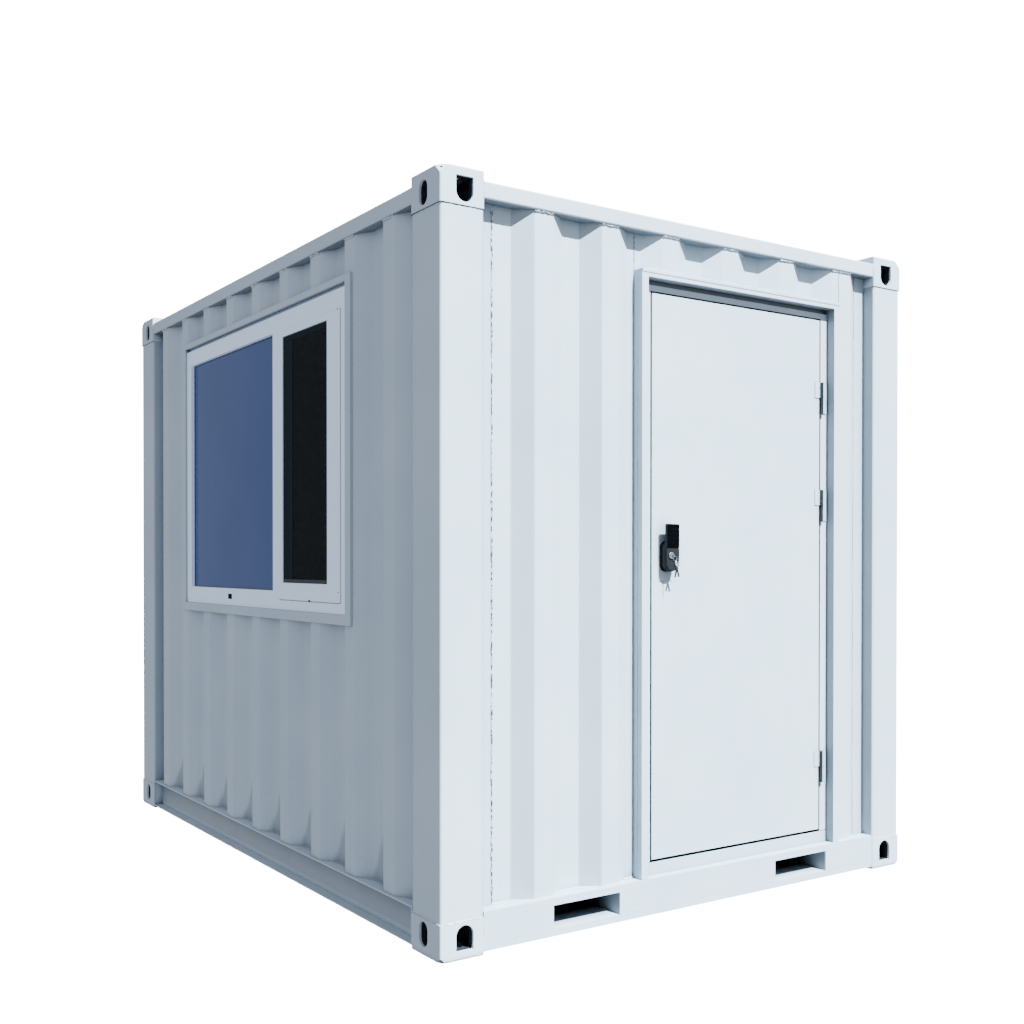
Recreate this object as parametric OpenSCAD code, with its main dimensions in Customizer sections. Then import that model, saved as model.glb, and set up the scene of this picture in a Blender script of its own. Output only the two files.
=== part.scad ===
// Office container: a short steel container with a personnel door in one end,
// a sliding window in one long side and fork pockets under the floor.
// +X points out of the door end, -Y out of the window side, +Z up.
// The origin is on the ground, under the centre of the box. Millimetres.
//
// Faces are drawn in face coordinates [m, d, z]: m runs along the face from the
// corner shared by the door end and the window side, d runs inwards from the
// plane of the corner castings, and z is the height above the ground.

/* [Overall size] */
// Length over the corner castings
length = 2900; // [2800:10:3300]
// Width over the corner castings
width = 2180; // [2150:10:2500]
// Height over the corner castings
height = 2438; // [2400:2:2700]

/* [Corner castings] */
// Casting size along the length
casting_l = 178; // [170:1:190]
// Casting size along the width
casting_w = 162; // [155:1:175]
// Casting height
casting_h = 118; // [114:1:118]
// Thickness of the casting's apertured walls
casting_wall = 26; // [20:1:27]
// Thickness of the casting's inner walls
casting_inner_wall = 12; // [8:1:16]
// Radius of the casting's upright edges
casting_r = 6; // [2:1:12]
// Twist-lock slot length, along the container
slot_l = 124; // [116:1:128]
// Twist-lock slot width
slot_w = 63.5; // [58:0.5:65]
// Distance from the end face to the centre of a slot
slot_from_end = 101.5; // [96:0.5:104]
// Distance from the side face to the centre of a slot
slot_from_side = 89; // [82:1:92]
// Height of the apertures in the upright faces
aperture_h = 79; // [70:1:79]
// Width of the aperture in a side face
side_aperture_w = 51; // [44:1:56]
// Distance of an aperture's flat edge from the slotted face
aperture_edge = 28.5; // [28:0.5:34]

/* [Frame] */
// How far the castings stand out in front of posts and rails
casting_proud = 3; // [1:0.5:6]
// Steel thickness of the folded corner posts
post_t = 6; // [4:1:8]
// Bend radius on the outside of the corner posts
post_r = 9; // [7:1:16]
// Width of the post flange that the end wall is welded to
end_flange = 62; // [40:1:70]
// Width of the post flange that the side wall is welded to
side_flange = 22; // [12:1:40]
// Height of the top rails
top_rail_h = 55; // [50:1:80]
// Depth of the top rails
top_rail_d = 66; // [63:1:72]
// Wall of the top rail tube
top_rail_t = 4; // [3:0.5:6]
// Outside corner radius of the top rail tube
top_rail_r = 7; // [5:0.5:8]
// Drop from the casting top to the top of the rails
top_rail_drop = 29; // [26:1:40]
// Height of the bottom rails
bottom_rail_h = 125; // [125:1:150]
// Clearance of the bottom rails above the ground
bottom_rail_lift = 11; // [11:1:16]
// Steel thickness of the bottom rails
bottom_rail_t = 6; // [4:0.5:8]
// Recess of the side rail's web behind the rail's lip
side_web_recess = 42; // [20:1:48]

/* [Floor] */
// Thickness of the floor deck
deck_t = 18; // [12:1:18]
// Number of floor cross members
cross_count = 6; // [4:1:8]
// Height of a cross member
cross_h = 92; // [80:1:96]
// Flange width of a cross member
cross_w = 45; // [35:1:60]
// Steel thickness of a cross member
cross_t = 4; // [3:0.5:6]
// Clear width of a fork pocket
pocket_w = 280; // [240:5:320]
// Clear height of a fork pocket
pocket_h = 76; // [60:1:78]
// Steel thickness of a fork pocket
pocket_t = 4; // [3:0.5:6]
// Gap between the fork pockets and the floor deck
pocket_drop = 3; // [0:1:6]
// Distance between the two fork pocket centres
pocket_spacing = 1032; // [900:4:1100]

/* [Corrugated walls] */
// Recess of the valleys behind the casting plane
valley_d = 51; // [45:1:60]
// Depth of the corrugation
corrugation = 38; // [20:1:42]
// Thickness of the wall sheet
sheet_t = 2; // [1.5:0.5:3]
// Width of a crest
crest_w = 75; // [60:1:80]
// Width of a slope
slope_w = 65; // [50:1:74]
// Width of a valley
valley_w = 73; // [60:1:80]
// Shift of the side wall pattern away from the door end
side_shift = 6; // [-20:1:40]
// Start of the first slope on the door end, from the window side
door_first_slope = 297; // [290:1:320]
// Width of a slope in the panel over the door
header_slope = 70; // [60:1:76]
// Width of a crest in the panel over the door
header_crest = 74; // [60:1:80]
// Width of a valley in the panel over the door
header_valley = 77; // [60:1:80]
// Distance from the door frame's edge to the first slope over the door
header_first_slope = 28; // [20:1:60]

/* [Roof and lining] */
// Thickness of the roof sheet
roof_t = 2; // [1.5:0.5:3]
// Inset of the roof sheet from the casting plane
roof_inset = 20; // [12:1:30]
// Number of ribs pressed into the roof
roof_ribs = 9; // [5:1:10]
// Height of a roof rib
rib_h = 18; // [10:1:22]
// Width of a roof rib at its foot
rib_w = 130; // [90:5:150]
// Width of the slope round a roof rib
rib_slope = 30; // [15:1:40]
// Distance from a roof rib's end to the roof sheet's edge
rib_end_inset = 90; // [80:5:160]
// Thickness of the lining panels
lining_t = 57; // [40:1:60]
// Distance from the casting tops down to the ceiling panel
ceiling_drop = 122; // [120:1:170]
// Thickness of the ceiling panel
ceiling_t = 50; // [30:1:50]

/* [Door] */
// Distance from the plain side to the door frame
door_from_plain = 357; // [345:1:460]
// Overall width of the door frame
door_frame_w = 1010; // [980:1:1040]
// Distance from the casting tops down to the door frame's top
door_top_drop = 208; // [200:1:300]
// Face width of the outer door frame
frame_face = 30; // [20:1:40]
// Height of the head of the outer door frame
frame_head = 27; // [20:1:32]
// Recess of the door frame's front behind the casting plane
frame_d = 7; // [4:1:12]
// Recess of the leaf's face behind the casting plane
leaf_d = 42; // [36:1:44]
// Thickness of the door leaf
leaf_t = 50; // [40:1:55]
// Face width of the jamb beside the leaf
jamb_face = 38; // [32:1:42]
// Height of the jamb's head over the leaf
jamb_head = 22; // [18:1:26]
// Height of the open groove over the jamb's head
head_groove = 16; // [8:1:20]
// Depth of the groove over the jamb's head
head_groove_depth = 12; // [6:1:50]
// Height of the threshold above the sill rail
threshold_h = 45; // [35:1:55]
// Gap between leaf and jamb at the hinges, the head and the threshold
leaf_gap = 5; // [4:0.5:6]
// Gap between leaf and jamb at the lock side
lock_gap = 7.5; // [7:0.5:9]
// Depth of the stop behind the leaf
stop_t = 15; // [10:1:16]
// Width of the stop behind the leaf
stop_w = 15; // [10:1:20]
// Gap between leaf and stop
stop_gap = 5; // [4:0.5:6]

/* [Hinges] */
// Distance from the leaf's foot to the centre of the lowest hinge
hinge_foot = 246; // [150:1:400]
// Distance from the leaf's head to the centre of the topmost hinge
hinge_head = 301; // [150:1:400]
// Distance between the centres of the two upper hinges
hinge_step = 415; // [200:1:600]
// Length of a hinge barrel
hinge_l = 120; // [90:2:140]
// Radius of a hinge barrel
barrel_r = 8; // [6:0.5:9]
// Radius of a hinge pin
pin_r = 4; // [3:0.25:5]
// Radial play of the pin in the door's barrel
pin_play = 0.05; // [0.02:0.01:0.1]
// Thickness of a hinge plate
plate_t = 3; // [2.5:0.5:4]
// Width of the hinge plate on the leaf
leaf_plate_w = 28; // [20:1:40]
// Gap between the two barrels of a hinge
barrel_gap = 1; // [0.5:0.5:2]

/* [Lock] */
// Distance from the leaf's lock edge to the lock
lock_from_edge = 36; // [25:1:60]
// Width of the lock
lock_w = 59; // [46:1:64]
// Height of the lock body's foot above the ground
lock_z = 1193; // [1100:1:1300]
// Height of the lock body
lock_h = 104; // [90:1:120]
// Height of the whole lock with its keypad
lock_total_h = 165; // [150:1:180]
// Height of the keypad
keypad_h = 85; // [76:1:90]
// Depth of the lock in front of the leaf
lock_depth = 38; // [30:1:38]
// Thickness of the keypad
keypad_t = 10; // [7:1:12]
// Corner radius of the lock body
lock_r = 24; // [6:1:25]
// Width of the plate behind the lock
lock_plate_w = 66; // [60:1:80]
// Height of the plate behind the lock
lock_plate_h = 164; // [150:1:190]
// Thickness of the plate behind the lock
lock_plate_t = 3; // [1.5:0.5:4]
// Drop of the plate's foot below the lock body
lock_plate_drop = 34; // [10:1:50]
// Radius of the lock cylinder
cylinder_r = 12; // [8:0.5:13]
// How far the cylinder stands out of the lock
cylinder_out = 3; // [2:0.5:4]
// Length of a key that hangs below the cylinder
key_l = 60; // [40:1:64]

/* [Window] */
// Distance from the door end to the window opening
window_m = 642; // [620:1:680]
// Width of the window opening
window_w = 1618; // [1560:1:1640]
// Height of the window opening's foot above the ground
window_z = 1039; // [1000:1:1100]
// Distance from the casting tops down to the window opening
window_top_drop = 232; // [225:1:320]
// Width of the steel surround's face
surround_face = 40; // [30:1:48]
// Steel thickness of the surround
surround_t = 4; // [3:0.5:5]
// Recess of the surround's face behind the casting plane
surround_d = 3; // [1:1:6]
// Height of the drip rail over the window
drip_h = 23; // [18:1:30]
// Height of the sill under the window
sill_h = 36; // [30:1:44]
// Open gap between the window frame and the drip rail
window_gap = 14; // [8:1:20]
// Recess of the window frame's face behind the casting plane
pvc_d = 11; // [8:1:16]
// Depth of the window frame
pvc_depth = 70; // [64:1:80]
// Face width of the window frame beside the fixed pane
pvc_side = 62; // [50:1:80]
// Face width of the window frame above the fixed pane
pvc_head = 69; // [55:1:80]
// Face width of the window frame below the fixed pane
pvc_foot = 73; // [60:1:80]
// Width of the fixed pane
fixed_w = 924; // [880:1:930]
// Width of the mullion between the fixed pane and the bay of the sash
mullion_w = 70; // [60:1:80]
// Width of the bay of the sash
bay_w = 504; // [480:1:520]
// Height of the bay's foot above the window opening's foot
bay_foot = 53; // [44:1:60]
// Distance from the window frame's top down to the bay
bay_head = 84; // [70:1:100]
// Lap of the screen frame over the window frame
screen_lap = 12; // [4:1:14]
// How far the screen frame stands out in front of the window frame
screen_proud = 4; // [2:0.5:4]
// Depth of the screen frame inside the bay
screen_depth = 9; // [6:1:12]
// Bar width of the screen frame beside the mullion, inside the bay
screen_bar_far = 24; // [16:1:40]
// Bar width of the screen frame beside the window's edge, inside the bay
screen_bar_near = 90; // [40:1:110]
// Bar height of the screen frame at the foot, inside the bay
screen_bar_foot = 53; // [20:1:60]
// Bar height of the screen frame at the head, inside the bay
screen_bar_head = 13; // [8:1:30]
// Thickness of the fly screen
screen_t = 1; // [0.8:0.1:2]
// Recess of the fly screen behind the screen frame's front
screen_d = 6; // [4:0.5:8]
// Recess of the sash behind the window frame's face
sash_d = 22; // [22:1:30]
// Thickness of the sash
sash_t = 34; // [24:1:34]
// Bar width of the sash
sash_bar = 52; // [36:1:60]
// Thickness of the glass
glass_t = 4; // [3:0.5:6]
// Recess of the fixed pane behind the window frame's face
fixed_glass_d = 15; // [10:1:30]

/* [Hidden] */
$fn = 48;
eps = 1;
plate_gap = 0.2;
steel_white = [0.86, 0.89, 0.92];
lining_white = [0.93, 0.93, 0.92];
pvc_white = [0.95, 0.96, 0.97];
lock_black = [0.07, 0.07, 0.08];
steel_bright = [0.72, 0.73, 0.74];

// Levels of the frame
sill_top = bottom_rail_lift + bottom_rail_h;
rail_top = height - top_rail_drop;
rail_foot = rail_top - top_rail_h;
crest_d = valley_d - corrugation;
lining_d = valley_d + post_t;
room_d = lining_d + lining_t;
deck_foot = sill_top - deck_t;
ceiling_z = height - ceiling_drop - ceiling_t;

// Corrugation
pitch = crest_w + valley_w + 2 * slope_w;
header_pitch = header_crest + header_valley + 2 * header_slope;
end_wall_m0 = casting_w + end_flange;
end_wall_m1 = width - casting_w - end_flange;
side_wall_m0 = casting_l + side_flange;
side_wall_m1 = length - casting_l - side_flange;
side_crests = floor((side_wall_m1 - side_wall_m0 - abs(side_shift) * 2 + valley_w) / pitch);
side_first = (length - side_crests * pitch + valley_w) / 2 + side_shift;
plain_first = (length - side_crests * pitch + valley_w) / 2 - side_shift;
rear_crests = floor((end_wall_m1 - end_wall_m0 + valley_w) / pitch);
rear_first = (width - rear_crests * pitch + valley_w) / 2;

// Door
frame_m1 = width - door_from_plain;
frame_m0 = frame_m1 - door_frame_w;
door_frame_top = height - door_top_drop;
clear_m0 = frame_m0 + frame_face;
clear_m1 = frame_m1 - frame_face;
clear_top = door_frame_top - frame_head;
leaf_m0 = clear_m0 + jamb_face + lock_gap;
leaf_m1 = clear_m1 - jamb_face - leaf_gap;
jamb_top = clear_top - head_groove;
jamb_soffit = jamb_top - jamb_head;
threshold_top = sill_top + threshold_h;
leaf_z0 = threshold_top + leaf_gap;
leaf_z1 = jamb_soffit - leaf_gap;
leaf_back = leaf_d + leaf_t;
hinge_z = [leaf_z0 + hinge_foot, leaf_z1 - hinge_head - hinge_step, leaf_z1 - hinge_head];
stop_d = leaf_back + stop_gap;
axis_m = leaf_m1 + leaf_gap + 2;
axis_d = leaf_d - 2 - barrel_r;
axis_to_plate = barrel_r + 1.5;

// Lock
lock_m = leaf_m0 + lock_from_edge;
lock_face_d = leaf_d - lock_depth;
keypad_z = lock_z + lock_total_h - keypad_h;
cylinder_z = keypad_z - cylinder_r - 12;
cylinder_m = lock_m + lock_w * 0.35;

// Window
window_m1 = window_m + window_w;
window_top = height - window_top_drop;
pvc_top = window_top - window_gap;
fixed_m1 = window_m1 - pvc_side;
fixed_m0 = fixed_m1 - fixed_w;
fixed_z0 = window_z + pvc_foot;
fixed_z1 = pvc_top - pvc_head;
bay_m1 = fixed_m0 - mullion_w;
bay_m0 = bay_m1 - bay_w;
bay_z0 = window_z + bay_foot;
bay_z1 = pvc_top - bay_head;
screen_front = pvc_d - screen_proud;
screen_m0 = bay_m0 + screen_bar_near;
screen_m1 = bay_m1 - screen_bar_far;
screen_z0 = bay_z0 + screen_bar_foot;
screen_z1 = bay_z1 - screen_bar_head;
sash_glass_d = pvc_d + sash_d + (sash_t - glass_t) / 2;

// ---------------------------------------------------------------- helpers

// Places face coordinates on the door end, the rear end and the two long sides
module on_door_end() translate([length / 2, -width / 2, 0]) rotate([0, 0, 90]) children();
module on_rear_end() mirror([1, 0, 0]) on_door_end() children();
module on_window_side() translate([length / 2, -width / 2, 0]) mirror([1, 0, 0]) children();
module on_plain_side() mirror([0, 1, 0]) on_window_side() children();
module on_both_ends() for (i = [0, 1]) mirror([i, 0, 0]) on_door_end() children();
module on_both_sides() for (i = [0, 1]) mirror([0, i, 0]) on_window_side() children();

// Places a corner drawn at the origin, reaching along +X and +Y, at all four corners
module at_all_corners() for (i = [0, 1], j = [0, 1])
    mirror([i, 0, 0]) mirror([0, j, 0]) translate([length / 2, -width / 2, 0])
        mirror([1, 0, 0]) children();

// A box between two opposite corners given by their coordinates
module slab(m0, m1, d0, d1, z0, z1) translate([m0, d0, z0]) cube([m1 - m0, d1 - d0, z1 - z0]);

// A rectangle with round corners, from its lower left corner
module round_rect(w, h, r) union() {
    translate([r, 0]) square([w - 2 * r, h]);
    translate([0, r]) square([w, h - 2 * r]);
    for (x = [r, w - r], y = [r, h - r]) translate([x, y]) circle(r);
}

// A slot with round ends, centred, longer along X
module stadium(l, w) union() {
    square([l - w, w], center = true);
    for (s = [-1, 1]) translate([s * (l - w) / 2, 0]) circle(w / 2);
}

// A rectangular ring: an outer box with an opening through its depth
module ring(m0, m1, d0, d1, z0, z1, left, right, foot, head) difference() {
    slab(m0, m1, d0, d1, z0, z1);
    slab(m0 + left, m1 - right, d0 - eps, d1 + eps, z0 + foot, z1 - head);
}

// Corner points of a corrugated line that starts and ends in a valley
function wave(m0, m1, first, n, slope, crest, step, off) = concat(
    [[m0, valley_d + off]],
    [for (k = [0 : n - 1], p = [
        [0, valley_d], [slope, crest_d], [slope + crest, crest_d], [2 * slope + crest, valley_d]
    ]) [first + k * step + p[0], p[1] + off]],
    [[m1, valley_d + off]]);

// Reverses a list of points
function backwards(list) = [for (i = [len(list) - 1 : -1 : 0]) list[i]];

// A corrugated sheet whose pattern runs from m0 to m1
module sheet(m0, m1, z0, z1, first, n, slope = slope_w, crest = crest_w, step = pitch) {
    translate([0, 0, z0]) linear_extrude(z1 - z0) polygon(concat(
        wave(m0, m1, first, n, slope, crest, step, 0),
        backwards(wave(m0, m1, first, n, slope, crest, step, sheet_t))));
}

// The part of the window side's sheet between two uprights and two levels
module side_sheet(m0, m1, z0, z1) intersection() {
    sheet(side_wall_m0, side_wall_m1, z0, z1, side_first, side_crests);
    slab(m0, m1, 0, lining_d, z0, z1);
}

// ---------------------------------------------------------------- frame

// A corner casting with its slotted face on the ground
module corner_casting() difference() {
    linear_extrude(casting_h) round_rect(casting_l, casting_w, casting_r);
    translate([casting_wall, casting_wall, casting_wall]) cube([
        casting_l - casting_wall - casting_inner_wall,
        casting_w - casting_wall - casting_inner_wall,
        casting_h - casting_wall - casting_inner_wall + 2]);
    translate([slot_from_end, slot_from_side, -eps])
        linear_extrude(casting_wall + 2 * eps) stadium(slot_l, slot_w);
    translate([-eps, slot_from_side, aperture_edge]) rotate([90, 0, 90])
        linear_extrude(casting_wall + 2 * eps) end_aperture();
    translate([slot_from_end, casting_wall + eps, aperture_edge + aperture_h / 2])
        rotate([90, 0, 0]) linear_extrude(casting_wall + 2 * eps)
            rotate(90) stadium(aperture_h, side_aperture_w);
}

// Shield-shaped aperture of an end face: flat towards the slotted face
module end_aperture() union() {
    translate([0, aperture_h - slot_w / 2]) circle(slot_w / 2);
    translate([-slot_w / 2, 0]) square([slot_w, aperture_h - slot_w / 2]);
}

module bottom_corner_castings() color(steel_white) at_all_corners() corner_casting();

module top_corner_castings() color(steel_white) at_all_corners()
    translate([0, 0, height]) mirror([0, 0, 1]) corner_casting();

// Folded post: two outer faces, two returns to the walls, and a flange for each wall
module corner_post() union() {
    translate([0, 0, casting_h]) linear_extrude(height - 2 * casting_h) difference() {
        translate([casting_proud, casting_proud])
            round_rect(casting_l - casting_proud, casting_w - casting_proud, post_r);
        translate([casting_proud + post_t, casting_proud + post_t]) round_rect(
            casting_l - casting_proud - 2 * post_t, casting_w - casting_proud - 2 * post_t,
            post_r - post_t);
        translate([lining_d, lining_d]) square([casting_l, casting_w]);
    }
    translate([valley_d, casting_w, sill_top])
        cube([post_t, end_flange, rail_foot - sill_top]);
    translate([casting_l, valley_d, sill_top])
        cube([side_flange, post_t, rail_foot - sill_top]);
}

module corner_posts() color(steel_white) at_all_corners() corner_post();

// Square tube with round corners, along m
module top_rail(m0, m1) translate([m0, casting_proud, rail_foot])
    rotate([90, 0, 90]) linear_extrude(m1 - m0) difference() {
        round_rect(top_rail_d, top_rail_h, top_rail_r);
        translate([top_rail_t, top_rail_t]) round_rect(
            top_rail_d - 2 * top_rail_t, top_rail_h - 2 * top_rail_t,
            top_rail_r - top_rail_t);
    }

module top_side_rails() color(steel_white) on_both_sides()
    top_rail(casting_l, length - casting_l);
module top_end_rails() color(steel_white) on_both_ends()
    top_rail(casting_w, width - casting_w);

// Channel with its web recessed behind a lip; the wall stands on its top flange
module bottom_side_rails() color(steel_white) on_both_sides() union() {
    web_d = casting_proud + side_web_recess;
    slab(casting_l, length - casting_l, web_d, web_d + bottom_rail_t, bottom_rail_lift, sill_top);
    slab(casting_l, length - casting_l, casting_proud, lining_d,
        sill_top - bottom_rail_t, sill_top);
    slab(casting_l, length - casting_l, casting_proud, web_d + bottom_rail_t,
        bottom_rail_lift, bottom_rail_lift + bottom_rail_t);
}

// Height of the fork pockets' foot above the ground
pocket_z = deck_foot - pocket_drop - pocket_t - pocket_h;

// A head angle, a foot angle, and web plates between them that leave the fork pockets open
module end_sill_rails() color(steel_white) on_both_ends() {
    web_d = casting_proud + bottom_rail_t;
    pocket_top = pocket_z + pocket_h;
    union() {
        slab(casting_w, width - casting_w, casting_proud, lining_d,
            sill_top - bottom_rail_t, sill_top);
        slab(casting_w, width - casting_w, casting_proud, web_d, pocket_top, sill_top);
    }
    union() {
        slab(casting_w, width - casting_w, casting_proud, lining_d,
            bottom_rail_lift, bottom_rail_lift + bottom_rail_t);
        slab(casting_w, width - casting_w, casting_proud, web_d, bottom_rail_lift, pocket_z);
    }
    inner_m = (width - pocket_spacing + pocket_w) / 2;
    outer_m = (width - pocket_spacing - pocket_w) / 2;
    for (m = [[casting_w, outer_m], [inner_m, width - inner_m], [width - outer_m, width - casting_w]])
        slab(m[0], m[1], casting_proud, web_d, pocket_z + plate_gap, pocket_top - plate_gap);
}

// ---------------------------------------------------------------- floor

// Each sleeve is four plates: a foot, a head and two sides between them
module fork_pockets() color(steel_white) for (s = [-1, 1])
    translate([0, s * pocket_spacing / 2, pocket_z + pocket_h / 2]) {
        pocket_l = length - 2 * (casting_proud + bottom_rail_t);
        for (side = [-1, 1]) {
            translate([0, 0, side * (pocket_h + pocket_t) / 2])
                cube([pocket_l, pocket_w + 2 * pocket_t, pocket_t], center = true);
            translate([0, side * (pocket_w + pocket_t) / 2, 0])
                cube([pocket_l, pocket_t, pocket_h - 2 * plate_gap], center = true);
        }
    }

// Channel section, open towards +X
module cross_section() difference() {
    square([cross_w, cross_h]);
    translate([cross_t, cross_t]) square([cross_w, cross_h - 2 * cross_t]);
}

// Cross members stop at the fork pockets, so each one is three lengths of channel
module floor_cross_members() color(steel_white) {
    web_y = width / 2 - casting_proud - side_web_recess - bottom_rail_t;
    inner_y = (pocket_spacing - pocket_w) / 2 - pocket_t;
    outer_y = (pocket_spacing + pocket_w) / 2 + pocket_t;
    run = length - 2 * casting_l - cross_w;
    for (i = [0 : cross_count - 1], y = [[-web_y, -outer_y], [-inner_y, inner_y], [outer_y, web_y]])
        translate([-run / 2 - cross_w / 2 + i * run / (cross_count - 1), y[1], deck_foot - cross_h])
            rotate([90, 0, 0]) linear_extrude(y[1] - y[0]) cross_section();
}

module floor_deck() color([0.55, 0.42, 0.3])
    translate([-length / 2 + lining_d, -width / 2 + lining_d, deck_foot])
        cube([length - 2 * lining_d, width - 2 * lining_d, deck_t]);

// ---------------------------------------------------------------- roof

// A block with sloping sides and ends, standing on z = 0
module rib_block(l, w, h, slope) {
    x = w / 2;
    y = l / 2;
    polyhedron(
        points = [[-x, -y, 0], [x, -y, 0], [x, y, 0], [-x, y, 0],
            [-x + slope, -y + slope, h], [x - slope, -y + slope, h],
            [x - slope, y - slope, h], [-x + slope, y - slope, h]],
        faces = [[0, 1, 2, 3], [4, 7, 6, 5], [0, 4, 5, 1], [1, 5, 6, 2], [2, 6, 7, 3],
            [3, 7, 4, 0]]);
}

// Pressed sheet on the top rails, notched round the castings
module roof_panel() color(steel_white) {
    rib_l = width - 2 * roof_inset - 2 * rib_end_inset;
    field = length - 2 * casting_l - rib_w;
    difference() {
        translate([0, 0, rail_top]) union() {
            translate([-length / 2 + roof_inset, -width / 2 + roof_inset, 0])
                cube([length - 2 * roof_inset, width - 2 * roof_inset, roof_t]);
            for (i = [0 : roof_ribs - 1])
                translate([-field / 2 + i * field / (roof_ribs - 1), 0, roof_t / 2])
                    rib_block(rib_l, rib_w, rib_h + roof_t / 2, rib_slope);
        }
        for (i = [0 : roof_ribs - 1])
            translate([-field / 2 + i * field / (roof_ribs - 1), 0, rail_top - roof_t / 2])
                rib_block(rib_l - 2 * roof_t, rib_w - 2 * roof_t, rib_h - roof_t / 2,
                    rib_slope - roof_t);
        for (sx = [-1, 1], sy = [-1, 1])
            translate([sx * (length / 2 - casting_l / 2), sy * (width / 2 - casting_w / 2), rail_top])
                cube([casting_l, casting_w, height], center = true);
    }
}

module ceiling_panel() color(lining_white)
    translate([-length / 2 + lining_d, -width / 2 + lining_d, ceiling_z])
        cube([length - 2 * lining_d, width - 2 * lining_d, ceiling_t]);

// ---------------------------------------------------------------- walls

// The steel reveal of the window is what the wall sheets are welded to
opening_m0 = window_m - surround_t;
opening_m1 = window_m1 + surround_t;
opening_z0 = window_z - surround_t;
opening_z1 = window_top + surround_t;

module window_wall_front() color(steel_white) on_window_side()
    side_sheet(side_wall_m0, opening_m0, sill_top, rail_foot);
module window_wall_rear() color(steel_white) on_window_side()
    side_sheet(opening_m1, side_wall_m1, sill_top, rail_foot);
module window_wall_above() color(steel_white) on_window_side()
    side_sheet(opening_m0, opening_m1, opening_z1, rail_foot);
module window_wall_below() color(steel_white) on_window_side()
    side_sheet(opening_m0, opening_m1, sill_top, opening_z0);

module plain_side_wall() color(steel_white) on_plain_side()
    sheet(side_wall_m0, side_wall_m1, sill_top, rail_foot, plain_first, side_crests);
module rear_end_wall() color(steel_white) on_rear_end()
    sheet(end_wall_m0, end_wall_m1, sill_top, rail_foot, rear_first, rear_crests);

// End wall beside the lock side of the door: two crests, then a valley to the frame
module door_wall_left() color(steel_white) on_door_end()
    sheet(end_wall_m0, frame_m0, sill_top, rail_foot, door_first_slope,
        floor((frame_m0 - door_first_slope + valley_w) / pitch));

// Panel over the door: it starts in a valley and ends in a crest
module door_wall_header() color(steel_white) on_door_end() intersection() {
    header_crests = ceil((door_frame_w - header_first_slope - header_slope) / header_pitch);
    sheet(frame_m0, frame_m0 + header_first_slope + header_crests * header_pitch, door_frame_top,
        rail_foot, frame_m0 + header_first_slope, header_crests, header_slope, header_crest,
        header_pitch);
    slab(frame_m0, frame_m1, 0, lining_d, door_frame_top, rail_foot);
}

// End wall beside the hinges: half a crest and one slope down to the post's flange
module door_wall_right() color(steel_white) on_door_end() intersection() {
    first = end_wall_m1 - 2 * slope_w - (end_wall_m1 - slope_w - frame_m1) - slope_w;
    sheet(first - eps, end_wall_m1, sill_top, rail_foot, first, 1, slope_w,
        end_wall_m1 - slope_w - first - slope_w);
    slab(frame_m1, end_wall_m1, 0, lining_d, sill_top, rail_foot);
}

// ---------------------------------------------------------------- lining

module lining_window_side() color(lining_white) on_window_side() difference() {
    slab(lining_d, length - lining_d, lining_d, room_d, sill_top, ceiling_z);
    slab(opening_m0, opening_m1, lining_d - eps, room_d + eps, opening_z0, opening_z1);
}

module lining_plain_side() color(lining_white) on_plain_side()
    slab(lining_d, length - lining_d, lining_d, room_d, sill_top, ceiling_z);
module lining_rear_end() color(lining_white) on_rear_end()
    slab(room_d, width - room_d, lining_d, room_d, sill_top, ceiling_z);
module lining_door_left() color(lining_white) on_door_end()
    slab(room_d, frame_m0, lining_d, room_d, sill_top, ceiling_z);
module lining_door_header() color(lining_white) on_door_end()
    slab(frame_m0, frame_m1, lining_d, room_d, door_frame_top, ceiling_z);
module lining_door_right() color(lining_white) on_door_end()
    slab(frame_m1, width - room_d, lining_d, room_d, sill_top, ceiling_z);

// ---------------------------------------------------------------- window

// Steel reveal with a front flange all round and a filler above the window frame
module window_surround() color(steel_white) on_window_side() union() {
    ring(opening_m0, opening_m1, surround_d, room_d, opening_z0, opening_z1,
        surround_t, surround_t, surround_t, surround_t);
    ring(window_m - surround_face, window_m1 + surround_face, surround_d, surround_d + surround_t,
        window_z - sill_h, window_top + drip_h, surround_face, surround_face, sill_h, drip_h);
    slab(window_m, window_m1, valley_d - surround_t, valley_d, pvc_top, window_top);
}

// Window frame with its mullion: the fixed pane's opening and the bay of the sash
module window_frame() color(pvc_white) on_window_side() difference() {
    slab(window_m, window_m1, pvc_d, pvc_d + pvc_depth, window_z, pvc_top);
    slab(fixed_m0, fixed_m1, pvc_d - eps, pvc_d + pvc_depth + eps, fixed_z0, fixed_z1);
    slab(bay_m0, bay_m1, pvc_d - eps, pvc_d + pvc_depth + eps, bay_z0, bay_z1);
}

module fixed_glass() color([0.3, 0.4, 0.58, 0.6]) on_window_side()
    slab(fixed_m0, fixed_m1, pvc_d + fixed_glass_d, pvc_d + fixed_glass_d + glass_t,
        fixed_z0, fixed_z1);

// Frame of the fly screen: a body in the bay and a lap over the window frame's face
module screen_frame() color(pvc_white) on_window_side() difference() {
    union() {
        slab(bay_m0, bay_m1, pvc_d - eps, pvc_d + screen_depth, bay_z0, bay_z1);
        slab(bay_m0 - screen_lap, bay_m1 + screen_lap, screen_front, pvc_d,
            bay_z0 - screen_lap, bay_z1 + screen_lap);
    }
    slab(screen_m0, screen_m1, 0, lining_d, screen_z0, screen_z1);
}

module fly_screen() color([0.1, 0.1, 0.11, 0.9]) on_window_side()
    slab(screen_m0, screen_m1, screen_front + screen_d, screen_front + screen_d + screen_t,
        screen_z0, screen_z1);

// Sliding sash behind the fly screen
module sliding_sash() color(pvc_white) on_window_side()
    ring(bay_m0, bay_m1, pvc_d + sash_d, pvc_d + sash_d + sash_t, bay_z0, bay_z1,
        sash_bar, sash_bar, sash_bar, sash_bar);

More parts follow.
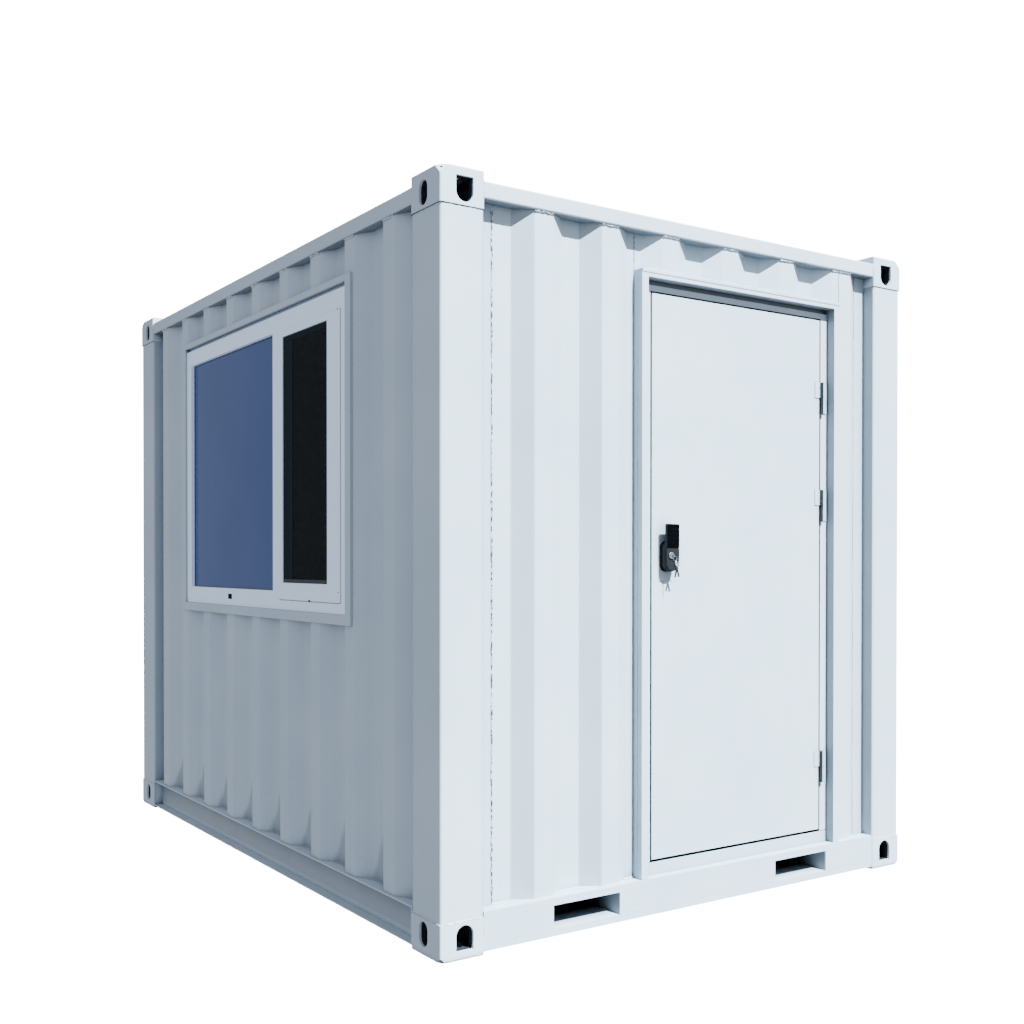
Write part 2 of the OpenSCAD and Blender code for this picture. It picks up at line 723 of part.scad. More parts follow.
module sash_glass() color([0.1, 0.11, 0.13, 0.7]) on_window_side()
    slab(bay_m0 + sash_bar, bay_m1 - sash_bar, sash_glass_d, sash_glass_d + glass_t,
        bay_z0 + sash_bar, bay_z1 - sash_bar);

// ---------------------------------------------------------------- door frame

module door_outer_frame() color(steel_white) on_door_end() difference() {
    slab(frame_m0, frame_m1, frame_d, room_d, sill_top, door_frame_top);
    slab(clear_m0, clear_m1, frame_d - eps, room_d + eps, sill_top - eps, clear_top);
}

// Jamb beside and over the leaf, with a stop behind it
module door_jamb_frame() color(steel_white) on_door_end() union() {
    for (m = [clear_m0, clear_m1 - jamb_face])
        slab(m, m + jamb_face, leaf_d, room_d, threshold_top, jamb_top);
    slab(clear_m0, clear_m1, leaf_d, room_d, jamb_soffit, jamb_top);
    slab(clear_m0, clear_m1, leaf_d + head_groove_depth, room_d, jamb_top - eps, clear_top);
    slab(clear_m0 + jamb_face - eps, clear_m0 + jamb_face + stop_w, stop_d, stop_d + stop_t,
        threshold_top, jamb_top);
    slab(clear_m1 - jamb_face - stop_w, clear_m1 - jamb_face + eps, stop_d, stop_d + stop_t,
        threshold_top, jamb_top);
    slab(clear_m0, clear_m1, stop_d, stop_d + stop_t, jamb_soffit - stop_w, jamb_top);
}

module door_threshold() color(steel_white) on_door_end()
    slab(clear_m0, clear_m1, leaf_d, room_d, sill_top, threshold_top);

// Frame half of a hinge: plate on the jamb, lower barrel, and the pin
module frame_hinge_leaves() color(steel_white) on_door_end() for (z = hinge_z) union() {
    slab(axis_m + axis_to_plate, clear_m1 - frame_face / 4, leaf_d - plate_t, leaf_d,
        z - hinge_l / 2, z + hinge_l / 2);
    slab(axis_m, axis_m + axis_to_plate + eps, leaf_d - plate_t, leaf_d,
        z - hinge_l / 2, z - barrel_gap / 2);
    translate([axis_m, axis_d, z - hinge_l / 2]) {
        cylinder(r = barrel_r, h = (hinge_l - barrel_gap) / 2);
        cylinder(r = pin_r, h = hinge_l);
    }
}

// ---------------------------------------------------------------- door

module door_leaf() color(steel_white) on_door_end()
    slab(leaf_m0, leaf_m1, leaf_d, leaf_back, leaf_z0, leaf_z1);

// Door half of a hinge: plate on the leaf and the upper barrel with its bore
module door_hinge_leaves() color(steel_white) on_door_end() for (z = hinge_z) difference() {
    union() {
        slab(leaf_m1 - leaf_plate_w, leaf_m1, leaf_d - plate_t, leaf_d,
            z + barrel_gap / 2, z + hinge_l / 2);
        slab(leaf_m1 - plate_t, axis_m, leaf_d - plate_t - 2, leaf_d - 2,
            z + barrel_gap / 2, z + hinge_l / 2);
        translate([axis_m, axis_d, z + barrel_gap / 2])
            cylinder(r = barrel_r, h = (hinge_l - barrel_gap) / 2);
    }
    translate([axis_m, axis_d, z]) cylinder(r = pin_r + pin_play, h = hinge_l);
}

// ---------------------------------------------------------------- lock

// A plate with round corners, upright on the door, from its lower left corner
module round_plate(m, z, d0, d1, w, h, r) translate([m, d1, z])
    rotate([90, 0, 0]) linear_extrude(d1 - d0) round_rect(w, h, r);

// Housing on a back plate, with a shallower front cover under the keypad
module lock_body() color(lock_black) on_door_end() union() {
    round_plate(lock_m - (lock_plate_w - lock_w) / 2, lock_z - lock_plate_drop,
        leaf_d - lock_plate_t, leaf_d, lock_plate_w, lock_plate_h, lock_plate_t);
    round_plate(lock_m, lock_z, lock_face_d + keypad_t, leaf_d - lock_plate_t, lock_w, lock_h,
        lock_r);
    intersection() {
        round_plate(lock_m, lock_z, lock_face_d, lock_face_d + keypad_t, lock_w, lock_h, lock_r);
        slab(lock_m, lock_m + lock_w, 0, leaf_d, lock_z, keypad_z);
    }
}

// Keypad panel, which stands up past the housing
module lock_keypad() color(lock_black) on_door_end()
    round_plate(lock_m, keypad_z, lock_face_d, lock_face_d + keypad_t, lock_w, keypad_h, 3);

module lock_cylinder() color(steel_bright) on_door_end()
    translate([cylinder_m, lock_face_d, cylinder_z]) rotate([90, 0, 0])
        cylinder(r = cylinder_r, h = cylinder_out);

// Key in the cylinder and a second key hanging below it on a ring
module lock_keys() color(steel_bright) on_door_end() union() {
    key_t = 2;
    key_w = 9;
    key_d = lock_face_d - cylinder_out;
    translate([cylinder_m - key_w / 2, key_d - key_t / 2, cylinder_z - key_l])
        cube([key_w, key_t / 2, key_l]);
    translate([cylinder_m, key_d, cylinder_z - key_l]) rotate([90, 0, 0])
        cylinder(r = key_w, h = key_t / 2);
}

// Plate and turn knob on the room side of the leaf
module inner_lock() color(lock_black) on_door_end() union() {
    round_plate(lock_m, lock_z, leaf_back, leaf_back + keypad_t, lock_w, lock_h, lock_r);
    translate([cylinder_m, leaf_back + keypad_t + 3 * cylinder_r, lock_z + lock_h / 2])
        rotate([90, 0, 0]) cylinder(r = 2 * cylinder_r, h = 3 * cylinder_r + eps);
}

// ---------------------------------------------------------------- nodes

top_corner_castings();
bottom_corner_castings();
corner_posts();
top_side_rails();
top_end_rails();
bottom_side_rails();
end_sill_rails();
floor_cross_members();
fork_pockets();
floor_deck();
roof_panel();
ceiling_panel();
window_wall_front();
window_wall_rear();
window_wall_above();
window_wall_below();
plain_side_wall();
rear_end_wall();
door_wall_left();
door_wall_header();
door_wall_right();
lining_window_side();
lining_plain_side();
lining_rear_end();
lining_door_left();
lining_door_header();
lining_door_right();
window_surround();
window_frame();
fixed_glass();
screen_frame();
fly_screen();
sliding_sash();
sash_glass();
door_outer_frame();
door_jamb_frame();
door_threshold();
frame_hinge_leaves();
door_leaf();
door_hinge_leaves();
lock_body();
lock_keypad();
lock_cylinder();
lock_keys();
inner_lock();
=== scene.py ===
"""Office container: the looks of its painted steel, door, lock, window, floor and roof."""

import math

import bmesh
import bpy
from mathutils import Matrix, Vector


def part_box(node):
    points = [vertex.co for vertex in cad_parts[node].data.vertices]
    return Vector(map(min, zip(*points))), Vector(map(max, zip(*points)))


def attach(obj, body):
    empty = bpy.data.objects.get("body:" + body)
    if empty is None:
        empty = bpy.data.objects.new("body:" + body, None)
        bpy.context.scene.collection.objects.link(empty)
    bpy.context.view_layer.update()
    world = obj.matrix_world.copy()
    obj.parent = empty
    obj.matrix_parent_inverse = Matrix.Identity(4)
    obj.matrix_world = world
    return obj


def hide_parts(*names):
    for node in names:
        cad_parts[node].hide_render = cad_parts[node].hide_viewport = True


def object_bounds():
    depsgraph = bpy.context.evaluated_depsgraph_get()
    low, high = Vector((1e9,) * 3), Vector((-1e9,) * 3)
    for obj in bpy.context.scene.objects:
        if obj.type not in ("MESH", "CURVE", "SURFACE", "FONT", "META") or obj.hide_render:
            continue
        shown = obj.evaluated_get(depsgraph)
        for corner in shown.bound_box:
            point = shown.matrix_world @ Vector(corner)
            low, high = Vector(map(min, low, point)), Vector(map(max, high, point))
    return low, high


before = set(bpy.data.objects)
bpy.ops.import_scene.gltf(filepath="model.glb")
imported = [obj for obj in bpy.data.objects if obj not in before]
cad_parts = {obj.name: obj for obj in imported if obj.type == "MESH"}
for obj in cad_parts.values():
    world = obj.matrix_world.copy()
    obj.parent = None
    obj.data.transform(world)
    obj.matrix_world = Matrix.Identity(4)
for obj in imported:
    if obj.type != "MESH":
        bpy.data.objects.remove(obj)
CAD_LOW, CAD_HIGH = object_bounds()
LENGTH = CAD_HIGH.x - CAD_LOW.x
WIDTH = CAD_HIGH.y - CAD_LOW.y
HEIGHT = CAD_HIGH.z
MM = 0.001
CONTAINER = "container"
DOOR = "door"


# ---- places

def on_end(m, d, z):
    """A point from its distance past the near corner, its depth and its height, in millimetres."""
    return Vector((LENGTH / 2 - d * MM, -WIDTH / 2 + m * MM, z * MM))


def on_side(m, d, z):
    """The same for the long side with the window."""
    return Vector((LENGTH / 2 - m * MM, -WIDTH / 2 + d * MM, z * MM))


def on_rear(m, d, z):
    return on_end(m, d, z) * Vector((-1, 1, 1))


def on_plain(m, d, z):
    return on_side(m, d, z) * Vector((1, -1, 1))


def ways(face):
    """The direction along a face and the direction into it."""
    origin = face(0, 0, 0)
    return (face(1, 0, 0) - origin).normalized(), (face(0, 1, 0) - origin).normalized()


def extent(node, face=on_side):
    """The extent (m0, m1, d0, d1, z0, z1) of a fixed part on a face, in millimetres."""
    low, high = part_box(node)
    origin = face(0, 0, 0)
    across = (face(1, 0, 0) - origin) / MM
    inwards = (face(0, 1, 0) - origin) / MM
    m = sorted(((low - origin).dot(across) / MM, (high - origin).dot(across) / MM))
    d = sorted(((low - origin).dot(inwards) / MM, (high - origin).dot(inwards) / MM))
    return (*m, *d, low.z / MM, high.z / MM)


# ---- workshop

def let_go():
    """Deselects every object."""
    bpy.ops.object.select_all(action="DESELECT")


def pick(piece):
    """Makes one object the only one selected, and the active one."""
    let_go()
    piece.select_set(True)
    bpy.context.view_layer.objects.active = piece


def take_all():
    """Selects the whole of the open mesh."""
    bpy.ops.mesh.select_all(action="SELECT")


def open_mesh(piece):
    pick(piece)
    bpy.ops.object.mode_set(mode="EDIT")
    bpy.ops.mesh.select_mode(type="VERT")


def close_mesh():
    bpy.ops.object.mode_set(mode="OBJECT")


def choose(piece, kind, wanted):
    """Selects the edges or the faces of the open mesh that a test accepts."""
    bpy.ops.mesh.select_mode(type=kind)
    bpy.ops.mesh.select_all(action="DESELECT")
    mesh = bmesh.from_edit_mesh(piece.data)
    for part in mesh.edges if kind == "EDGE" else mesh.faces:
        if wanted(part):
            part.select_set(True)
    bmesh.update_edit_mesh(piece.data)


def bevel_edges(piece, wanted, width, segments, **settings):
    """Rounds only the edges that a test accepts."""
    open_mesh(piece)
    choose(piece, "EDGE", wanted)
    bpy.ops.mesh.bevel(offset=width * MM, segments=segments, affect="EDGES", **settings)
    close_mesh()


def slice_mesh(piece, place, normal, **settings):
    """Cuts the whole mesh along a plane."""
    open_mesh(piece)
    take_all()
    bpy.ops.mesh.bisect(plane_co=place, plane_no=normal, **settings)
    close_mesh()


def settled(name):
    """The primitive just added, under its own name and with its place put into its mesh."""
    piece = bpy.context.object
    piece.name = name
    pick(piece)
    bpy.ops.object.transform_apply(location=True, rotation=True, scale=True)
    return piece


def apply_modifier(piece, kind, **settings):
    pick(piece)
    modifier = piece.modifiers.new(kind.lower(), kind)
    for key, value in settings.items():
        setattr(modifier, key, value)
    bpy.ops.object.modifier_apply(modifier=modifier.name)


def smooth(piece, angle=30):
    """Smooth shading that keeps flat faces flat."""
    pick(piece)
    bpy.ops.object.shade_smooth_by_angle(angle=math.radians(angle))
    apply_modifier(piece, "WEIGHTED_NORMAL", keep_sharp=True, weight=80)


def soften(piece, width, segments=2, angle=35):
    """Rounds every sharp edge of a piece."""
    apply_modifier(piece, "BEVEL", width=width * MM, segments=segments, limit_method="ANGLE",
        angle_limit=math.radians(angle), use_clamp_overlap=True, miter_outer="MITER_ARC")
    smooth(piece)


def paint_with(piece, finish):
    piece.data.materials.clear()
    piece.data.materials.append(finish)
    for face in piece.data.polygons:
        face.material_index = 0


def repaint(piece, finish, wanted):
    """Another finish on the faces that a test accepts."""
    piece.data.materials.append(finish)
    for face in piece.data.polygons:
        if wanted(face):
            face.material_index = len(piece.data.materials) - 1


def fit(piece, finish, body=CONTAINER):
    """Finishes a new piece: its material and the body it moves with."""
    paint_with(piece, finish)
    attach(piece, body)
    return piece


def fit_soft(piece, width, segments, finish, body=CONTAINER):
    """Rounds a new piece's edges and finishes it."""
    soften(piece, width, segments)
    fit(piece, finish, body)


def placed(name, data):
    """A new object in the scene."""
    thing = bpy.data.objects.new(name, data)
    bpy.context.scene.collection.objects.link(thing)
    return thing


def merged_copy(name, node):
    """A copy of a fixed part's mesh, with its loose triangles joined into clean faces."""
    piece = placed(name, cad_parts[node].data.copy())
    pick(piece)
    bpy.ops.mesh.customdata_custom_splitnormals_clear()
    open_mesh(piece)
    take_all()
    bpy.ops.mesh.remove_doubles(threshold=0.02 * MM)
    bpy.ops.mesh.dissolve_limited(angle_limit=math.radians(0.5))
    close_mesh()
    return piece


def joined(name, pieces):
    """Joins several new pieces into one."""
    let_go()
    for piece in pieces:
        piece.select_set(True)
    bpy.context.view_layer.objects.active = pieces[0]
    if len(pieces) > 1:
        bpy.ops.object.join()
    pieces[0].name = name
    pieces[0].data.name = name
    return pieces[0]


def block(name, face, m0, m1, d0, d1, z0, z1):
    """A plain block between two corners on a face, ready to be shaped."""
    start = face(m0, d0, z0)
    end = face(m1, d1, z1)
    let_go()
    bpy.ops.mesh.primitive_cube_add(size=1, location=(start + end) / 2)
    bpy.context.object.scale = [abs(reach) for reach in end - start]
    return settled(name)


def cut_across(piece, places, normal):
    """Adds an edge loop right round a block at each place."""
    open_mesh(piece)
    for place in places:
        take_all()
        bpy.ops.mesh.bisect(plane_co=place, plane_no=normal)
    close_mesh()


def pierced(name, face, outer, openings):
    """A slab (m0, m1, d0, d1, z0, z1) with openings (m0, m1, z0, z1) right through it."""
    piece = block(name, face, *outer)
    across, through = ways(face)
    sides = sorted({v for o in openings for v in o[:2]})
    levels = sorted({v for o in openings for v in o[2:]})
    cut_across(piece, [face(m, 0, 0) for m in sides], across)
    cut_across(piece, [face(0, 0, z) for z in levels], Vector((0, 0, 1)))
    for m0, m1, z0, z1 in openings:
        low = face(m0, 0, z0)
        high = face(m1, 0, z1)
        near, far = sorted((low.dot(across), high.dot(across)))

        def inside_opening(f):
            centre = f.calc_center_median()
            flat = abs(f.normal.dot(through)) > 0.99
            return flat and near < centre.dot(across) < far and low.z < centre.z < high.z

        open_mesh(piece)
        choose(piece, "FACE", inside_opening)
        bpy.ops.mesh.delete(type="FACE")
        choose(piece, "EDGE", lambda edge: len(edge.link_faces) == 1)
        bpy.ops.mesh.bridge_edge_loops()
        take_all()
        bpy.ops.mesh.normals_make_consistent(inside=False)
        close_mesh()
    return piece


def edge_way(edge):
    """The direction of an edge."""
    return (edge.verts[1].co - edge.verts[0].co).normalized()


def round_corners(piece, radius, segments=8, below=None):
    """Rounds the edges that point out of the door end, or only those below a height."""
    def wanted(edge):
        low_enough = below is None or max(v.co.z for v in edge.verts) < below
        return abs(edge_way(edge).x) > 0.99 and low_enough

    bevel_edges(piece, wanted, radius, segments)


def turned(name, place, radius, depth, vertices):
    """A round bar that points out of the door end."""
    let_go()
    bpy.ops.mesh.primitive_cylinder_add(vertices=vertices, radius=radius * MM,
        depth=depth * MM, location=on_end(*place), rotation=(0, math.pi / 2, 0))
    return settled(name)


# ---- finishes

PAINT = (0.56, 0.635, 0.71)
PAINT_SHADE = (0.51, 0.585, 0.66)
GRIME = (0.36, 0.38, 0.38)
# Colours of painted shade in corners, recesses and crevices.
CORNER_SHADE = (0.055, 0.066, 0.078)
RECESS_SHADE = (0.34, 0.395, 0.44)
CREVICE_SHADE = (0.010, 0.012, 0.015)
STAIN = (0.10, 0.105, 0.11)
WEDGE = (0.30, 0.33, 0.36)
# Painted shade on a rail's web, from its foot up to under its flange.
WEB_SHADE_FOOT = (0.42, 0.46, 0.50)
WEB_SHADE_HEAD = (0.18, 0.205, 0.23)
RUST = (0.30, 0.27, 0.25)
PLASTIC = (0.92, 0.98, 1.0)
CORRUGATION_PITCH = 0.278
WEDGE_PLACE = 0.1646
WEDGE_STRETCH = 0.98


def set_inputs(node, **values):
    """Sets a node's sockets by their names, with _ for a space."""
    for name, value in values.items():
        node.inputs[name.replace("_", " ")].default_value = value
    return node


def new_node(tree, kind, **values):
    """A new shader node with its sockets set."""
    return set_inputs(tree.nodes.new("ShaderNode" + kind), **values)


def new_finish(name, colour, roughness, metallic=0.0):
    """A material with its own shader, ready for its pattern."""
    finish = bpy.data.materials.new(name)
    finish.use_nodes = True
    shader = finish.node_tree.nodes["Principled BSDF"]
    set_inputs(shader, Base_Color=(*colour, 1), Roughness=roughness, Metallic=metallic)
    return finish, finish.node_tree, shader


def coat(tree, shader, colour=None, gloss=None):
    """Puts a pattern of colour, and one of roughness, on a shader."""
    for name, pattern in (("Base Color", colour), ("Roughness", gloss)):
        if pattern is not None:
            tree.links.new(pattern, shader.inputs[name])


def spot(tree, scale=(1, 1, 1), shift=(0, 0, 0)):
    """The piece's own coordinates, stretched and shifted."""
    coordinates = new_node(tree, "TexCoord")
    mapping = new_node(tree, "Mapping", Scale=scale, Location=shift)
    tree.links.new(coordinates.outputs["Object"], mapping.inputs["Vector"])
    return mapping.outputs["Vector"]


def along(tree, axis, scale=(1, 1, 1), shift=(0, 0, 0)):
    """One of the piece's own coordinates."""
    split = new_node(tree, "SeparateXYZ")
    tree.links.new(spot(tree, scale, shift), split.inputs["Vector"])
    return split.outputs[axis]


def clouds(tree, scale, detail=3.0, roughness=0.55, stretch=(1, 1, 1)):
    """Soft noise all through a piece."""
    noise = new_node(tree, "TexNoise", Scale=scale, Detail=detail, Roughness=roughness)
    tree.links.new(spot(tree, stretch), noise.inputs["Vector"])
    return noise.outputs["Fac"]


def spread(tree, value, low, high, out_low=0.0, out_high=1.0):
    """Maps a range of values onto another one, clamped."""
    node = new_node(tree, "MapRange", From_Min=low, From_Max=high, To_Min=out_low, To_Max=out_high)
    tree.links.new(value, node.inputs["Value"])
    return node.outputs["Result"]


def reckon(tree, operation, *values):
    """One step of arithmetic on numbers and other nodes' outputs."""
    node = new_node(tree, "Math")
    node.operation = operation
    for socket, value in zip(node.inputs, values):
        if isinstance(value, float):
            socket.default_value = value
        else:
            tree.links.new(value, socket)
    return node.outputs[0]


def mixed(tree, factor, first, second):
    """Two colours mixed by a factor; each is a colour or another node's output."""
    node = new_node(tree, "Mix")
    node.data_type = "RGBA"
    tree.links.new(factor, node.inputs["Factor"])
    for socket, value in ((node.inputs[6], first), (node.inputs[7], second)):
        if isinstance(value, tuple):
            socket.default_value = (*value, 1)
        else:
            tree.links.new(value, socket)
    return node.outputs[2]


def bumps(tree, shader, height, strength, distance, under=None):
    """Adds relief to a shader; returns the relief for another layer."""
    node = new_node(tree, "Bump", Strength=strength, Distance=distance * MM)
    tree.links.new(height, node.inputs["Height"])
    if under is not None:
        tree.links.new(under, node.inputs["Normal"])
    tree.links.new(node.outputs["Normal"], shader.inputs["Normal"])
    return node.outputs["Normal"]


def painted_recess_shade(tree, colour, reach, stepped=False):
    """A colour darkened by ambient occlusion: painted shade in recesses, turning near black in deep
    crevices.
    """
    node = new_node(tree, "AmbientOcclusion", Distance=reach)
    node.samples = 6
    openness = node.outputs["AO"]
    if stepped:
        with_recess_shade = mixed(tree, spread(tree, openness, 0.55, 0.90), RECESS_SHADE, colour)
    else:
        with_recess_shade = mixed(tree, spread(tree, openness, 0.24, 0.60), CORNER_SHADE, colour)
    return mixed(tree, spread(tree, openness, 0.05, 0.17), CREVICE_SHADE, with_recess_shade)


def run_stain(tree, colour, m, z0, z1, half):
    """A thin dark run down a face of the door end, fading at its ends."""
    off = reckon(tree, "ABSOLUTE", along(tree, "Y", shift=(0, WIDTH / 2 - m * MM, 0)))
    height = along(tree, "Z")
    band = spread(tree, off, 0.0, half * MM, 1.0, 0.0)
    foot = spread(tree, height, z0 * MM, (z0 + 30) * MM)
    head = spread(tree, height, (z1 - 2) * MM, z1 * MM, 1.0, 0.0)
    broken = spread(tree, clouds(tree, 1.0, stretch=(40, 40, 90)), 0.35, 0.55, 0.35, 0.9)
    shown = reckon(tree, "MULTIPLY", reckon(tree, "MULTIPLY", band, foot),
        reckon(tree, "MULTIPLY", head, broken))
    return mixed(tree, shown, colour, STAIN)


def web_shade(tree, colour):
    """Paint of a rail's web with painted shade, darker up towards the flange that shelters it."""
    height = along(tree, "Z")
    shaded_web = mixed(tree, spread(tree, height, 0.035, 0.125), WEB_SHADE_FOOT, WEB_SHADE_HEAD)
    return mixed(tree, spread(tree, height, 0.036, 0.030), shaded_web, colour)


def dark_foot_wedges(tree, colour):
    """A darker narrow wedge at the foot of each valley of the side's sheet."""
    stretch = (-WEDGE_STRETCH, 1, 1)
    start = (WEDGE_STRETCH * LENGTH / 2 - WEDGE_PLACE, 0, 0)
    off = reckon(tree, "WRAP", along(tree, "X", stretch, start), CORRUGATION_PITCH, 0.0)
    rise = spread(tree, along(tree, "Z"), 0.137, 0.322, 0.0, 0.080)
    ragged = spread(tree, clouds(tree, 1.0, stretch=(30, 30, 12)), 0.3, 0.7, -0.006, 0.006)
    reached = reckon(tree, "ADD", reckon(tree, "ADD", off, rise), ragged)
    shown = spread(tree, reached, 0.058, 0.080, 0.75, 0.0)
    return mixed(tree, shown, colour, WEDGE)


def steel_paint(name, roughness=0.42, peel=0.10, grime=0.20, waves=0.0, stain=None, reach=0.13,
        stepped=False, tone=1.0, pattern=None):
    """Sprayed white enamel: orange peel, soft mottling, rain streaks, grime at the foot, and painted shade
    in recesses.
    """
    finish, tree, shader = new_finish(name, PAINT, roughness)
    mottled = spread(tree, clouds(tree, 2.3), 0.35, 0.7)
    # A tone below one darkens the whole coat: painted shade.
    colour = mixed(tree, mottled, tuple(tone * v for v in PAINT),
        tuple(tone * v for v in PAINT_SHADE))
    streaks = spread(tree, clouds(tree, 1.0, 5.0, stretch=(26, 26, 0.55)), 0.56, 0.78)
    specks = spread(tree, clouds(tree, 60.0, 2.0), 0.66, 0.74)
    low = spread(tree, along(tree, "Z"), 0.02, 0.75, 1.0, 0.25)
    for marks, amount in ((streaks, grime), (specks, grime * 0.9)):
        dirt = spread(tree, reckon(tree, "MULTIPLY", marks, low), 0.0, 1.0, 0.0, amount)
        colour = mixed(tree, dirt, colour, GRIME)
    if stain is not None:
        colour = run_stain(tree, colour, *stain)
    if pattern is not None:
        colour = pattern(tree, colour)
    # Painted shade in recesses and crevices.
    colour = painted_recess_shade(tree, colour, reach, stepped)
    gloss = spread(tree, clouds(tree, 9.0), 0.3, 0.7, roughness - 0.06, roughness + 0.1)
    coat(tree, shader, colour, gloss)
    relief = bumps(tree, shader, clouds(tree, 260.0, 2.0), peel, 0.4)
    if waves:
        bumps(tree, shader, clouds(tree, 3.2, 1.0), waves, 6.0, relief)
    return finish


def cast_paint():
    """Enamel over cast steel: a sand-cast grain, with bare rust where twist locks rub, and painted shade
    in recesses.
    """
    finish, tree, shader = new_finish("painted_casting", PAINT, 0.5)
    mottled = spread(tree, clouds(tree, 7.0), 0.35, 0.7)
    colour = mixed(tree, mottled, PAINT, PAINT_SHADE)
    chips = spread(tree, clouds(tree, 34.0, 6.0, 0.7), 0.70, 0.76)
    colour = mixed(tree, chips, colour, RUST)
    # Painted shade in the castings' recesses.
    coat(tree, shader, painted_recess_shade(tree, colour, 0.05))
    bumps(tree, shader, clouds(tree, 95.0, 5.0, 0.6), 0.28, 1.2)
    return finish


def blotched(name, colour, other, roughness, blotches, limits, grain, relief):
    """A coat of one colour with blotches of another, over a fine grain."""
    finish, tree, shader = new_finish(name, colour, roughness)
    shown = spread(tree, clouds(tree, *blotches), *limits)
    coat(tree, shader, mixed(tree, shown, colour, other))
    bumps(tree, shader, clouds(tree, *grain), *relief)
    return finish


def pvc():
    """White window plastic: smooth, slightly dusty, with a faint blue glow that paints in light."""
    finish, tree, shader = new_finish("window_pvc", PLASTIC, 0.3)
    dust = spread(tree, clouds(tree, 11.0, 5.0), 0.4, 0.75, 0.0, 0.35)
    gloss = spread(tree, clouds(tree, 20.0), 0.3, 0.7, 0.24, 0.38)
    coat(tree, shader, mixed(tree, dust, PLASTIC, (0.85, 0.92, 0.97)), gloss)
    # Painted light: a faint blue glow.
    set_inputs(shader, Emission_Color=(0.32, 0.5, 1.0, 1), Emission_Strength=0.2)
    bumps(tree, shader, clouds(tree, 150.0, 1.0), 0.03, 0.3)
    return finish


def pane(name, colour, roughness, clear):
    """Glass with faint dust."""
    finish, tree, shader = new_finish(name, colour, roughness)
    set_inputs(shader, Transmission_Weight=clear)
    coat(tree, shader, gloss=spread(tree, clouds(tree, 42.0, 4.0), 0.45, 0.8, 0.03, 0.12))
    return finish, tree, shader


def tinted_pane():
    """Blue reflecting glass, a little see-through."""
    finish, tree, shader = pane("tinted_pane", (0.06, 0.11, 0.30), 0.04, 0.2)
    set_inputs(shader, IOR=1.38, Specular_Tint=(0.45, 0.62, 1.0, 1))
    cloudy = spread(tree, clouds(tree, 1.6), 0.35, 0.7)
    coat(tree, shader, mixed(tree, cloudy, (0.028, 0.070, 0.255), (0.038, 0.088, 0.28)))
    return finish


def fly_mesh():
    """Woven black screen: fine wires with small see-through gaps."""
    finish, tree, shader = new_finish("fly_mesh", (0.004, 0.0045, 0.005), 0.7)
    set_inputs(shader, Specular_IOR_Level=0.1)
    wires = []
    for direction in "XZ":
        wave = new_node(tree, "TexWave", Scale=1.0)
        wave.bands_direction = direction
        tree.links.new(spot(tree, (190, 190, 190)), wave.inputs["Vector"])
        wires.append(wave.outputs["Fac"])
    weave = reckon(tree, "ADD", *wires)
    tree.links.new(spread(tree, weave, 0.3, 1.1, 0.86, 1.0), shader.inputs["Alpha"])
    bumps(tree, shader, weave, 0.4, 0.3)
    return finish


def speckled(name, colour, other, roughness, scale, metallic=0.0, relief=0.2, shine=0.5):
    """A moulded or metal finish with fine grain in colour, gloss and relief."""
    finish, tree, shader = new_finish(name, colour, roughness, metallic)
    set_inputs(shader, Specular_IOR_Level=shine)
    grain = clouds(tree, scale, 4.0, 0.6)
    shown = mixed(tree, spread(tree, grain, 0.35, 0.7), colour, other)
    gloss = spread(tree, grain, 0.3, 0.75, roughness - 0.04, roughness + 0.1)
    coat(tree, shader, shown, gloss)
    bumps(tree, shader, grain, relief, 0.2)
    return finish


def jointed(name, colour, other, axes, pitch, roughness=0.45, grain=18.0):
    """Panels with straight dark joints across one or more axes."""
    finish, tree, shader = new_finish(name, colour, roughness)
    shown = mixed(tree, spread(tree, clouds(tree, grain, 4.0), 0.3, 0.75), colour, other)
    joints = None
    for axis in axes:
        place = along(tree, axis, shift=(0.31, 0.17, 0))
        line = spread(tree, reckon(tree, "PINGPONG", place, pitch / 2), 0.0012, 0.0035, 1.0, 0.0)
        joints = line if joints is None else reckon(tree, "ADD", joints, line)
    coat(tree, shader, mixed(tree, joints, shown, tuple(0.35 * v for v in colour)))
    relief = bumps(tree, shader, joints, -0.6, 2.0)
    bumps(tree, shader, clouds(tree, grain * 9), 0.12, 0.5, relief)
    return finish


def pocket_paint_and_shade(name, paint):
    """Paint inside the fork pockets with painted shade: clean at the mouths, near black further in."""
    finish, tree, shader = new_finish(name, paint, 0.5)
    ragged = spread(tree, clouds(tree, 14.0), 0, 1, -0.015, 0.015)
    edge = reckon(tree, "ADD", reckon(tree, "ABSOLUTE", along(tree, "X")), ragged)
    inside = spread(tree, edge, LENGTH / 2 - 0.13, LENGTH / 2 - 0.02, 1.0, 0.0)
    coat(tree, shader, mixed(tree, inside, paint, (0.012, 0.013, 0.015)))
    bumps(tree, shader, clouds(tree, 90.0, 4.0), 0.2, 0.8)
    return finish


STEEL = steel_paint("painted_steel", stepped=True)
SHEET = steel_paint("painted_wall_sheet", 0.45, 0.10, 0.22, waves=0.10)
# Darker copy of the sheet paint: painted shade on slopes turned from the sun.
SLOPE_SHADE = steel_paint("sheet_slopes_painted_shade", 0.45, 0.10, 0.22, waves=0.10, tone=0.70)
CASING = steel_paint("painted_door_frame", reach=0.06)
RAIL = steel_paint("painted_bottom_rails", reach=0.03)
